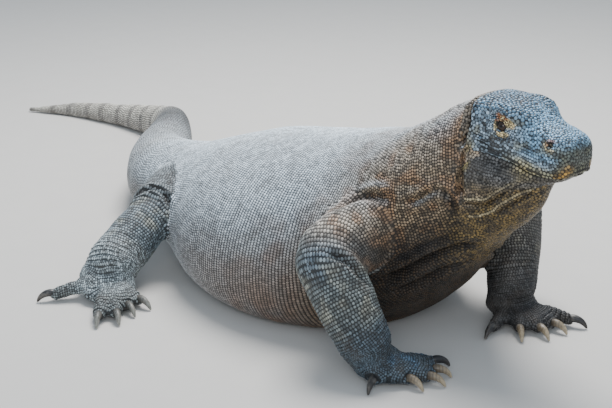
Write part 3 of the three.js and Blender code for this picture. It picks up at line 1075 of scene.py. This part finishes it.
# Scales that lie in rows on the cheek, the jaw and the ridges below it: the first and last row of each
# group, how many rows, and the step along a row.
headRows = [
    {"first": millimetres((420, -66, 454), (446, -64, 447), (470, -60, 441), (496, -56, 437), (522, -51, 434),
                          (546, -47, 430)),
     "last": millimetres((428, -66, 430), (452, -60, 427), (471, -57, 425), (490, -54, 421), (508, -52, 417),
                         (540, -46, 408)), "rows": 5, "step": 0.0046},
    {"first": millimetres((424, -74, 404), (452, -66, 396), (480, -60, 392), (508, -54, 386), (530, -47, 381),
                          (552, -42, 377)),
     "last": millimetres((424, -86, 338), (441, -78, 340), (458, -70, 344), (476, -64, 354), (500, -58, 370),
                         (530, -50, 378)), "rows": 12, "step": 0.0044},
    {"first": gularBanks[0], "last": gularBanks[0], "rows": 1, "step": 0.0046},
    {"first": gularBanks[1], "last": gularBanks[1], "rows": 1, "step": 0.0046},
]


def evenly(line, count=40):  # the same line in equal steps
    reach = reachOf(line)
    return readAt(np.linspace(0, reach[-1], count), reach, line)


def guidedSpots():
    places = []
    for guide in headRows:
        first = evenly(roundedLine(guide["first"], 6))
        last = evenly(roundedLine(guide["last"], 6))
        for row in range(guide["rows"]):
            share = row / max(guide["rows"] - 1, 1)
            line = first * (1 - share) + last * share
            spots = evenly(line, max(2, int(lengthOf(line) / guide["step"])))
            if row % 2:
                spots = (spots[1:] + spots[:-1]) / 2
            places += spots.tolist() + (spots * [1, -1, 1]).tolist()
    found = [onSkin(place) for place in places]
    spots, facing, face = (np.array([f[i] for f in found]) for i in range(3))
    return spots, facing, regions[tris[face, 0]]


def neighbours(spots, space, share):  # pairs of scales closer than their size asks, each way round
    listed = spots.tolist()
    tree = treeOf(listed)
    pairs = [(i, other) for i, place in enumerate(listed)
             for _, other, _ in tree.find_range(place, share * space[i]) if other != i]
    one, other = np.array(pairs).T
    return one, other, np.linalg.norm(spots[one] - spots[other], axis=1)


# Shares of a scale's space: how far it feels the others, the room that it wants, how hard they push and
# its longest step. Then how far it looks to find how wide it can be, the least and most that it comes out,
# and how wide it is where it stands alone.
packing = {
    "feels": 1.7, "wants": 1.3, "push": 0.30, "longest": 0.3,
    "looks": 1.9, "least": 1.05, "most": 1.45, "lone": 1.28,
}


def evened(spots, facing, space, held, rounds=7):
    # Eases crowded scales apart so that they pack evenly; the held ones stay where they are.
    spots = spots.copy()
    facing = facing.copy()
    for _ in range(rounds):
        one, other, gap = neighbours(spots, space, packing["feels"])
        wanted = packing["wants"] / 2 * (space[one] + space[other])
        push = packing["push"] * np.clip(wanted - gap, 0, None) / np.maximum(gap, 1e-5)
        move = sumAt(one, (spots[one] - spots[other]) * push[:, None], len(spots))
        long = np.linalg.norm(move, axis=1)
        move *= np.minimum(1, packing["longest"] * space / np.maximum(long, 1e-9))[:, None]
        for i in np.flatnonzero(~held & (long > 1e-6)):
            spots[i], facing[i], _ = onSkin(spots[i] + move[i])
    one, other, gap = neighbours(spots, space, packing["looks"])
    mean = np.bincount(one, gap, len(spots)) / np.maximum(np.bincount(one, minlength=len(spots)), 1)
    mean = np.where(mean > 0, mean, packing["lone"] * space)
    return spots, facing, np.clip(mean, packing["least"] * space, packing["most"] * space)


def headSpace(spots):
    # How far apart the head's scales are, and 0 where there are none.
    side = sideways(spots)
    x, y, z = side.T
    ring, byEye = eyeRing(side)
    hole = np.linalg.norm(side - head["nostril"], axis=1)
    lipGap = toLine(side, head["mouth"])[0]
    earGap = toLine(side, head["ear"])[0]
    space = 0.0046 + 0.0009 * ramp(z, 0.462, 0.482)
    for here, value in (
            (z < mouthHeight(x), 0.0041), (x > 0.52, 0.0043), (byEye & (ring < 3.4), 0.0033),
            (byEye & (ring < 2.2), 0.0027), (byEye & (ring < 1.08), 0), (hole < 0.012, 0.0034),
            (hole < 0.0052, 0), (lipGap < 0.0022, 0), (earGap < 0.011, 0.0036), (earGap < 0.0028, 0)):
        space = np.where(here, value, space)
    return space


skinTree = BVHTree.FromPolygons(points.tolist(), tris.tolist())


def onSkin(place):
    spot, facing, face, _ = skinTree.find_nearest(Vector(place))
    return np.array(spot), unit(normals[tris[face]].mean(0)[None])[0], face


# Rows of larger plates: each row's height over the mouth and its plates' width, where the rows begin
# along the mouth, and how far ahead the lower one goes.
lips = {
    "rows": ((0.0052, 0.0074), (-0.0050, 0.0068), (0.0118, 0.0062)),
    "step": 0.0070,
    "begin": 0.012,
    "lowerEnds": 0.602,
    "clear": 0.0066,  # how far the scattered scales stay off
    "space": 0.0056,
}


def growLips():
    # Rows of larger plates along both lips.
    found = []
    for offset, wide in lips["rows"]:
        for side in (1, -1):
            line = roundedLine(head["mouth"] * [1, side, 1], 4)
            reach = reachOf(line)
            count = int((reach[-1] - 0.01) / lips["step"])
            at = lips["begin"] + (np.arange(count) + 0.5) * (reach[-1] - lips["begin"]) / count
            places = readAt(at, reach, line)
            tangents = readAt(at + 0.003, reach, line) - places
            for place, tangent in zip(places, tangents):
                if place[0] > lips["lowerEnds"] and offset < 0:
                    continue
                spot, facing, _ = onSkin(place + [0, 0, offset])
                way = unit(np.cross(facing, tangent)[None])[0]
                found.append(np.concatenate([spot, facing, way, [wide, lips["step"]]]))
    return np.array(found)


def growAll():
    found = {region: growRows(region) for region in rowsOf}
    plates = growLips()
    spot, facing, space, owner = growHead([(row[:3].tolist(), lips["clear"]) for row in plates])
    held = np.arange(len(plates) + len(spot)) < len(plates)
    moved = evened(np.vstack([plates[:, :3], spot]), np.vstack([plates[:, 3:6], facing]),
                   np.append(np.full(len(plates), lips["space"]), space), held)
    spot, facing, wide = (values[~held] for values in moved)
    clear = headSpace(spot) > 0
    spot, facing, wide, owner = (values[clear] for values in (spot, facing, wide, owner))
    scales = np.column_stack([spot, facing, liesBack(facing), wide, wide])
    for part in headParts:
        found[part] = scales[owner == part]
    found["lips"] = plates
    return found


def liesBack(facing):  # the way that a scale points where no row leads it
    back = np.tile([-1.0, 0, 0.1], (len(facing), 1))
    return unit(back - (back * facing).sum(1)[:, None] * facing)


# The later of two scales goes if it is closer than this share of their mean size.
seams = {"search": 0.0058, "between": 0.62, "within": 0.45}
bare = {"from": 0.95, "apart": 0.90}  # as shares of a row's pitch: what counts as bare, and between fillings


def thinned(found):
    # Two rows that meet at a seam between parts would pile up, so the later of two close scales goes.
    names = list(found)
    owner = np.repeat(np.arange(len(names)), [len(found[name]) for name in names])
    everything = np.vstack([found[name] for name in names])
    listed = everything[:, :3].tolist()
    tree = treeOf(listed)
    kept = np.ones(len(everything), bool)
    size = np.minimum(everything[:, 9], everything[:, 10])
    for i, place in enumerate(listed):
        if not kept[i]:
            continue
        for _, other, gap in tree.find_range(place, seams["search"]):
            if other <= i or not kept[other]:
                continue
            limit = seams["between" if owner[other] != owner[i] else "within"]
            if gap < limit * 0.5 * (size[i] + size[other]):
                kept[other] = False
    return {name: everything[(owner == i) & kept] for i, name in enumerate(names)}


def filled(found):
    # Puts single scales where the rows part and leave the skin bare.
    centres = points[tris].mean(1)
    facing = unit(normals[tris].mean(1))
    way = liesBack(facing)
    part = partOf[tris[:, 0]]
    tree = treeOf(np.vstack(list(found.values()))[:, :3].tolist())
    added = []
    for region in rowsOf:
        kind = rows[rowsOf[region]]
        new = []
        for i in np.flatnonzero(part == region):
            if tree.find(centres[i].tolist())[2] < bare["from"] * kind["pitch"]:
                continue
            if added and np.linalg.norm(added - centres[i], axis=1).min() < bare["apart"] * kind["pitch"]:
                continue
            added.append(centres[i])
            new.append(np.concatenate([centres[i], facing[i], way[i], [kind["pitch"], kind["spacing"]]]))
        if new:
            found[region] = np.vstack([found[region], new])
    print("bare places filled:", len(added))
    return found


grown = filled(thinned(growAll()))
print("scales kept:", sum(len(group) for group in grown.values()))


# Scale shapes.
def scaleShape(sides, steps):
    # A low dome: a rim under the skin, then for each step how far it shrinks and rises, and a crown.
    bm = bmesh.new()
    bmesh.ops.create_circle(bm, cap_ends=True, cap_tris=False, segments=sides, radius=1)
    face = bm.faces[:][0]
    if face.normal.z < 0:
        face.normal_flip()
    for shrink, rise in steps:
        inset = bmesh.ops.extrude_face_region(bm, geom=[face])
        bmesh.ops.delete(bm, geom=[face], context="FACES_ONLY")
        corners = [v for v in inset["geom"] if isinstance(v, bmesh.types.BMVert)]
        face = [f for f in inset["geom"] if isinstance(f, bmesh.types.BMFace)][0]
        bmesh.ops.scale(bm, vec=(shrink, shrink, 1), verts=corners)
        bmesh.ops.translate(bm, vec=(0, 0, rise), verts=corners)
    bmesh.ops.poke(bm, faces=[face], offset=max(0, 1 - face.verts[0].co.z))
    bmesh.ops.triangulate(bm, faces=bm.faces[:])
    bmesh.ops.recalc_face_normals(bm, faces=bm.faces)
    bm.verts.index_update()
    verts = np.array([v.co[:] for v in bm.verts])
    faces = np.array([[v.index for v in f.verts] for f in bm.faces])
    if verts[faces[0]].mean(0) @ np.array(bm.faces[:][0].normal) < 0:
        faces = faces[:, ::-1]
    bm.free()
    return verts, faces


fineScale = scaleShape(7, ((0.82, 0.60), (0.5, 0.30)))
smallScale = scaleShape(6, ((0.82, 0.60), (0.5, 0.30)))
plainScale = scaleShape(6, ((0.70, 0.68),))


def turnShare(a, b):  # an angle as a share of a whole turn
    return np.arctan2(a, b) / (2 * math.pi) + 0.5


def chart(spots, facing, name):
    # Where each root lies on the part's own unwrap: along the part, and round it.
    if name in legLines:
        along = legPlace(spots, name)
        line = legLines[name]
        axis = unit(line[2] - line[1])
        across = unit(np.cross(axis, [0, 0, 1]))
        over = np.cross(across, axis)
        wrap = turnShare((spots - line[1]) @ over, (spots - line[1]) @ across)
        palm = turnShare(spots[:, 1] - line[3][1], spots[:, 0] - line[3][0])
        under = np.where(facing[:, 2] > -0.2, 0.0, 0.5)
        return along, np.where(along > legLength(name) + 0.01, under + 0.5 * palm, wrap)
    if name in headParts + ["lips"]:
        ahead = (spots[:, 0] - head["back"]) / head["long"]
        return ahead, turnShare(spots[:, 2] - head["middleHigh"], spots[:, 1])
    along = toLine(spots * [1, 1, 0], spineLine)[1]
    centre = np.interp(spots[:, 0], spineLine[:, 0], spineLine[:, 1])
    return along, turnShare(spots[:, 2] - coat["trunkMiddle"], spots[:, 1] - centre)


coat = {
    "sink": 0.0004,  # how far a scale's rim is under the skin
    "patch": 0.0030,  # how big a scale is on the map
    "trunkMiddle": 0.10,  # the height that the map of the trunk turns round
    "fit": 1.06,  # a scale's width as a share of its place
    "fullSize": 0.0075,  # a scale this wide is as high as its kind says
    "uneven": 0.06,
    "turn": 0.10,  # how unevenly the scales are turned, in radians
    "lowest": 0.0002,  # the floor's surface keeps this much clear
}
coatPieces = {}


def placed(region, group, high, cover):
    # Each scale's place, its three directions times its half sizes, its colour and its place on the map.
    spots, facing, way = group[:, :3], group[:, 3:6], group[:, 6:9]
    way = unit(way - (way * facing).sum(1)[:, None] * facing)
    turn = rng.normal(0, coat["turn"], len(group))[:, None]
    way = way * np.cos(turn) + np.cross(facing, way) * np.sin(turn)
    across = np.cross(facing, way)
    size = 0.5 * coat["fit"] * cover[:, None] * group[:, 9:] * rng.normal(1, coat["uneven"], (len(group), 2))
    rise = high * np.clip(np.minimum(group[:, 9], group[:, 10]) / coat["fullSize"], 0.5, 1.3)
    owner = region + "foot" if region in legLines else "head" if region == "lips" else region
    tone = markings(spots, facing, np.full(len(spots), owner), 0.95 * foldDepth(spots)[1])
    u, v = chart(spots, facing, region)
    flat = np.column_stack([u, v])
    return spots, way * size[:, :1], across * size[:, 1:], facing, rise[:, None], tone, flat


def makeCoat(name, groups, shape):
    # Joins the scales of a few groups, each of them (region, rows of scales, heights, covers).
    template, faces = shape
    spots, length, width, facing, rise, tone, roots = (
        np.concatenate(values) for values in zip(*(placed(*group) for group in groups)))
    count = len(spots)
    size = len(template)
    tx, ty, tz = template.T[:, :, None]
    corners = (spots[:, None] + length[:, None] * tx + width[:, None] * ty
               + facing[:, None] * (rise[:, None] * tz - coat["sink"]))
    corners = corners.reshape(-1, 3)
    corners[:, 2] = np.maximum(corners[:, 2], coat["lowest"])
    allFaces = (faces[None] + (np.arange(count) * size)[:, None, None]).reshape(-1)
    mesh = bpy.data.meshes.new(name)
    mesh.vertices.add(len(corners))
    mesh.loops.add(len(allFaces))
    mesh.polygons.add(len(allFaces) // 3)
    mesh.vertices.foreach_set("co", corners.ravel())
    mesh.loops.foreach_set("vertex_index", allFaces)
    mesh.polygons.foreach_set("loop_start", np.arange(0, len(allFaces), 3))
    mesh.update(calc_edges=True)
    mesh.validate()
    shadeSmooth(mesh)
    addFloat(mesh, "rise", np.tile(np.clip(template[:, 2], 0, 1), count))
    addFloat(mesh, "chance", np.repeat(rng.random(count), size))
    addColour(mesh, "tone", np.repeat(tone, size, axis=0))
    roots = (roots - roots.min(0)) / np.maximum(np.ptp(roots, axis=0), 1e-6) * 0.98 + 0.01
    mapped = (roots[:, None] + coat["patch"] / 2 * template[:, :2]).reshape(-1, 2)
    layer = mesh.uv_layers.new(name="OFBake")
    layer.uv.foreach_set("vector", mapped[allFaces].astype(np.float32).ravel())
    print(name, count, "scales,", len(allFaces) // 3, "triangles")
    coatPieces[name] = newObject(name, mesh)


def coatGroup(region, chosen=slice(None)):
    group = grown[region][chosen]
    kind = headKinds.get(region) or rows[rowsOf[region]]
    high = np.full(len(group), kind["high"])
    cover = np.full(len(group), kind["cover"])
    if region == "trunk":  # the scales grow taller and further apart towards the neck
        front = ramp(group[:, 0], 0.02, 0.2)
        high = high + (rows["neck"]["high"] - high) * front
        cover = cover + (rows["neck"]["cover"] - cover) * front
    return region, group, high, cover


trunkX = grown["trunk"][:, 0]
cuts = np.quantile(trunkX, [0, 1 / 3, 2 / 3, 1])
for i, where in enumerate(("rear", "middle", "front")):
    inside = (trunkX >= cuts[i]) & (trunkX < cuts[i + 1] + (i == 2))
    makeCoat(f"scales_trunk_{where}", [coatGroup("trunk", inside)], plainScale)
ahead = grown["neck"][:, 0] >= np.median(grown["neck"][:, 0])
makeCoat("scales_neck_rear", [coatGroup("neck", ~ahead)], smallScale)
makeCoat("scales_neck_front", [coatGroup("neck", ahead)], smallScale)
makeCoat("scales_head", [coatGroup(part) for part in headParts + ["lips"]], fineScale)
makeCoat("scales_tail", [coatGroup(f"tail_{part}") for part in ("base", "middle", "tip")], plainScale)
for leg in legLines:
    makeCoat(f"scales_{leg}_leg", [coatGroup(leg)], smallScale)

# Materials. gap is how dark the rim of a scale is, and vary how much one scale differs from the next.
hides = {
    "body": {"gap": 0.05, "vary": 0.34, "edge": (0.22, 0.68), "rough": (0.42, 0.62), "dust": 0.14},
    "neck": {"gap": 0.05, "vary": 0.75, "rough": (0.40, 0.62), "dust": 0.10},
    "head": {"gap": 0.03, "vary": 0.70, "edge": (0.25, 0.80), "rough": (0.24, 0.40), "dust": 0.04},
    "leg": {"gap": 0.05, "vary": 0.65, "edge": (0.16, 0.72), "rough": (0.36, 0.56), "dust": 0.14},
    "tail": {"gap": 0.45, "vary": 0.25, "rough": (0.48, 0.68), "dust": 0.25},
    "skin": {"gap": 0.24, "vary": 0.0, "rough": (0.60, 0.80), "dust": 0.08},
}
dustColour = srgb(176, 168, 156)
stainColour = srgb(72, 62, 52)
gapDark = {"front": 0.78, "body": 0.64}  # how dark the skin between the scales is


class Look:
    # A material, with the kinds of node that the looks below are made of.
    def __init__(self, name):
        self.material = bpy.data.materials.new(name)
        self.material.use_nodes = True
        self.nodes = self.material.node_tree.nodes
        self.links = self.material.node_tree.links
        self.shader = self.nodes["Principled BSDF"]
        self.coords = self.nodes.new("ShaderNodeTexCoord").outputs["Object"]

    def attribute(self, name, output="Fac"):
        node = self.nodes.new("ShaderNodeAttribute")
        node.attribute_name = name
        return node.outputs[output]

    def noise(self, size, detail=3.0):
        node = self.nodes.new("ShaderNodeTexNoise")
        node.inputs["Scale"].default_value = size
        node.inputs["Detail"].default_value = detail
        self.links.new(self.coords, node.inputs["Vector"])
        return node.outputs["Fac"]

    def remap(self, value, low, high, toLow, toHigh):
        node = self.nodes.new("ShaderNodeMapRange")
        for i, number in enumerate((low, high, toLow, toHigh)):
            node.inputs[i + 1].default_value = number
        self.links.new(value, node.inputs[0])
        return node.outputs[0]

    def fill(self, socket, value):
        if isinstance(value, bpy.types.NodeSocket):
            self.links.new(value, socket)
        elif isinstance(value, (int, float)):
            socket.default_value = value
        else:
            socket.default_value = (*value, 1)

    def put(self, name, value):
        self.fill(self.shader.inputs[name], value)

    def mix(self, share, under, over, blend="MIX"):
        node = self.nodes.new("ShaderNodeMix")
        node.data_type = "RGBA"
        node.blend_type = blend
        for i, value in ((0, share), (6, under), (7, over)):
            self.fill(node.inputs[i], value)
        return node.outputs[2]

    def math(self, operation, *values):
        node = self.nodes.new("ShaderNodeMath")
        node.operation = operation
        for socket, value in zip(node.inputs, values):
            self.fill(socket, value)
        return node.outputs[0]

    def bump(self, height, strength, distance):
        node = self.nodes.new("ShaderNodeBump")
        node.inputs["Strength"].default_value = strength
        node.inputs["Distance"].default_value = distance
        self.links.new(height, node.inputs["Height"])
        self.put("Normal", node.outputs[0])


def hideMaterial(name):
    kind = hides[name]
    look = Look("hide_" + name)
    rise = look.attribute("rise")
    crown = look.remap(rise, *kind.get("edge", (0.10, 0.70)), kind["gap"], 1.0)
    each = look.remap(look.attribute("chance"), 0, 1, 1 - kind["vary"], 1 + kind["vary"])
    bright = look.math("MULTIPLY", crown, each)
    grey = look.nodes.new("ShaderNodeCombineColor")
    for socket in grey.inputs:
        look.links.new(bright, socket)
    colour = look.mix(1.0, look.attribute("tone", "Color"), grey.outputs[0], "MULTIPLY")
    stain = look.noise(38, 5)
    colour = look.mix(look.remap(stain, 0.45, 0.75, 0, 0.35), colour, stainColour)
    dust = look.remap(look.noise(9, 6), 0.5, 0.75, 0, kind["dust"])
    dust = look.math("MULTIPLY", dust, look.remap(rise, 0, 1, 0.5, 1))
    colour = look.mix(dust, colour, dustColour)
    look.put("Base Color", colour)
    fine = look.noise(700, 4)
    look.put("Roughness", look.remap(fine, 0.3, 0.7, *kind["rough"]))
    look.bump(fine, 0.35, 0.0006)
    return look.material


materials = {name: hideMaterial(name) for name in hides}
skinTone = markings(points, normals, regions, shade)
inGaps = np.isin(regions, ["neck", "throat", "head", "lower_jaw"])
skinTone = mixed(skinTone, tones["dark"], np.where(inGaps, gapDark["front"], gapDark["body"]))
for name in ("rise", "chance"):
    addFloat(skinObject.data, name, np.full(len(points), 0.5 if name == "chance" else 0.22))
addColour(skinObject.data, "tone", skinTone)
shadeSmooth(skinObject.data)
skinObject.data.materials.clear()
skinObject.data.materials.append(materials["skin"])
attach(skinObject, "root")
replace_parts(skinObject, *fleshNames)

for name, piece in coatPieces.items():
    part = "leg" if name.endswith("leg") else name.split("_")[1]
    piece.data.materials.append(materials["body" if part == "trunk" else part])
    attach(piece, "root")
print("coat made")

# Eyes.
eye = {
    "pupil": 0.20,  # as angles off the middle, in radians
    "iris": 0.62,
    "ahead": 0.25,  # how far the gaze turns forward
    "up": 0.08,
    "bulge": 0.0006,
    "colours": [srgb(26, 16, 10), srgb(58, 36, 18)],
    "rim": srgb(22, 16, 13),
    "black": srgb(4, 4, 5),
}


def eyeMaterial():
    look = Look("eye_wet")
    off = look.attribute("off")
    streaks = look.remap(look.noise(1400), 0.35, 0.65, 0, 1)
    iris = look.mix(streaks, *eye["colours"])
    rim = look.remap(off, eye["iris"], eye["iris"] + 0.10, 0, 1)
    pupil = look.remap(off, eye["pupil"], eye["pupil"] + 0.06, 1, 0)
    look.put("Base Color", look.mix(pupil, look.mix(rim, iris, eye["rim"]), eye["black"]))
    look.put("Roughness", 0.06)
    look.put("Specular IOR Level", 0.3)
    look.put("Coat Weight", 0.35)
    look.put("Coat Roughness", 0.03)
    return look.material


def makeEye(name, side, material):
    bm = bmesh.new()
    bmesh.ops.create_uvsphere(bm, u_segments=36, v_segments=24, radius=head["eyeRadius"])
    gaze = Vector((math.sin(eye["ahead"]), side * math.cos(eye["ahead"]), eye["up"])).normalized()
    turn = Vector((0, 0, 1)).rotation_difference(gaze).to_matrix()
    off = []
    for vert in bm.verts:
        angle = vert.co.angle(Vector((0, 0, 1)))
        off.append(angle)
        vert.co *= 1 + eye["bulge"] / head["eyeRadius"] * math.exp(-(angle / eye["iris"]) ** 4)
    bmesh.ops.rotate(bm, matrix=turn, verts=bm.verts)
    bmesh.ops.translate(bm, vec=Vector(head["eye"] * [1, -side, 1]), verts=bm.verts)
    mesh = meshFrom(bm, name)
    shadeSmooth(mesh)
    addFloat(mesh, "off", np.array(off))
    mesh.materials.append(material)
    obj = newObject(name, mesh)
    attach(obj, "root")
    return obj


wet = eyeMaterial()
for name, side in (("eye_right", -1), ("eye_left", 1)):
    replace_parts(makeEye(name.replace("eye", "eyeball"), side, wet), name)
print("eyes made")

# Claws.
claws = {
    "rings": 6,
    "horn": srgb(128, 114, 92),
    "tip": srgb(176, 160, 132),
    "root": srgb(58, 52, 46),
    "dark": srgb(34, 34, 36),
    "hind": srgb(98, 100, 96),
    "hindTip": srgb(138, 138, 130),
}
darkClaws = ("left_foreclaw_1", "left_foreclaw_5", "right_hindclaw_5", "right_foreclaw_1", "right_foreclaw_5")


def hornMaterial(name, root, middle, tip):
    look = Look(name)
    along = look.attribute("along")
    colour = look.mix(look.remap(along, 0.05, 0.45, 0, 1), root, middle)
    colour = look.mix(look.remap(along, 0.5, 1.0, 0, 1), colour, tip)
    bands = look.noise(240, 4)
    colour = look.mix(look.remap(bands, 0.42, 0.68, 0, 0.45), colour, root)
    bent = look.math("MULTIPLY", along, look.remap(bands, 0, 1, 0.92, 1.08))
    wave = look.math("SINE", look.remap(bent, 0, 1, 0, claws["rings"] * 2 * math.pi))
    rings = look.math("MULTIPLY", look.remap(wave, -0.2, 0.9, 0, 0.55), look.remap(along, 0.55, 0.95, 1, 0))
    colour = look.mix(rings, colour, root)
    colour = look.mix(look.remap(look.noise(60, 5), 0.5, 0.75, 0, 0.4), colour, dustColour)
    look.put("Base Color", colour)
    look.put("Roughness", look.remap(bands, 0.3, 0.7, 0.30, 0.55))
    look.bump(bands, 0.4, 0.0008)
    return look.material


def makeClaw(name, material):
    bm = bmesh.new()
    bm.from_mesh(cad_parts[name].data)
    bmesh.ops.remove_doubles(bm, verts=bm.verts, dist=1e-5)
    bmesh.ops.dissolve_limit(bm, angle_limit=math.radians(2), verts=bm.verts, edges=bm.edges)
    bmesh.ops.triangulate(bm, faces=bm.faces[:])
    obj = newObject(name + "_horn", meshFrom(bm, name + "_horn"))
    smooth = obj.modifiers.new("round", "SUBSURF")
    smooth.levels = smooth.render_levels = 2
    mesh = applied(obj)
    places = pointsOf(mesh)
    tip = places[places[:, 2].argmin()]
    away = np.linalg.norm((places - tip)[:, :2], axis=1)
    addFloat(mesh, "along", 1 - away / away.max())
    shadeSmooth(mesh)
    mesh.materials.append(material)
    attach(obj, "root")
    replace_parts(obj, name)


paleHorn = hornMaterial("horn_pale", claws["root"], claws["horn"], claws["tip"])
darkHorn = hornMaterial("horn_dark", claws["dark"], claws["dark"] * 1.4, claws["root"])
greyHorn = hornMaterial("horn_grey", claws["root"], claws["hind"], claws["hindTip"])
for name in [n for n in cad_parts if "claw" in n]:
    horn = darkHorn if name in darkClaws else greyHorn if "hind" in name else paleHorn
    makeClaw(name, horn)
print("claws made")

# Floor and lights.
studio = {
    "floor": srgb(206, 203, 198),
    "floorHalf": 9,
    "world": (0.72, 0.85, 1.0),
    "worldStrength": 0.68,
    "aim": (0, 0, 0.2),
    "key": {"place": (-0.7, 0.8, 2.9), "size": 1.7, "power": 158, "colour": (1.0, 0.99, 0.98)},
    "fill": {"place": (2.6, -2.6, 1.8), "size": 2.4, "power": 50, "colour": (0.95, 0.97, 1.0)},
}


def addFloor():
    bm = bmesh.new()
    bmesh.ops.create_grid(bm, x_segments=1, y_segments=1, size=studio["floorHalf"])
    floor = newObject("floor", meshFrom(bm, "floor"))
    look = Look("studio_floor")
    speck = look.remap(look.noise(14, 6), 0.3, 0.7, 0, 0.12)
    look.put("Base Color", look.mix(speck, studio["floor"], studio["floor"] * 0.8))
    look.put("Roughness", 0.9)
    floor.data.materials.append(look.material)


def addLight(name, look):
    data = bpy.data.lights.new(name, "AREA")
    data.shape = "DISK"
    data.size = look["size"]
    data.energy = look["power"]
    data.color = look["colour"]
    light = bpy.data.objects.new(name, data)
    light.location = look["place"]
    aim = Vector(studio["aim"]) - light.location
    light.rotation_euler = aim.to_track_quat("-Z", "Y").to_euler()
    bpy.context.scene.collection.objects.link(light)


def addWorld():
    world = bpy.data.worlds.new("studio")
    world.use_nodes = True
    sky = world.node_tree.nodes["Background"]
    sky.inputs["Color"].default_value = (*studio["world"], 1)
    sky.inputs["Strength"].default_value = studio["worldStrength"]
    bpy.context.scene.world = world


addFloor()
addLight("key", studio["key"])
addLight("fill", studio["fill"])
addWorld()
print("studio set")
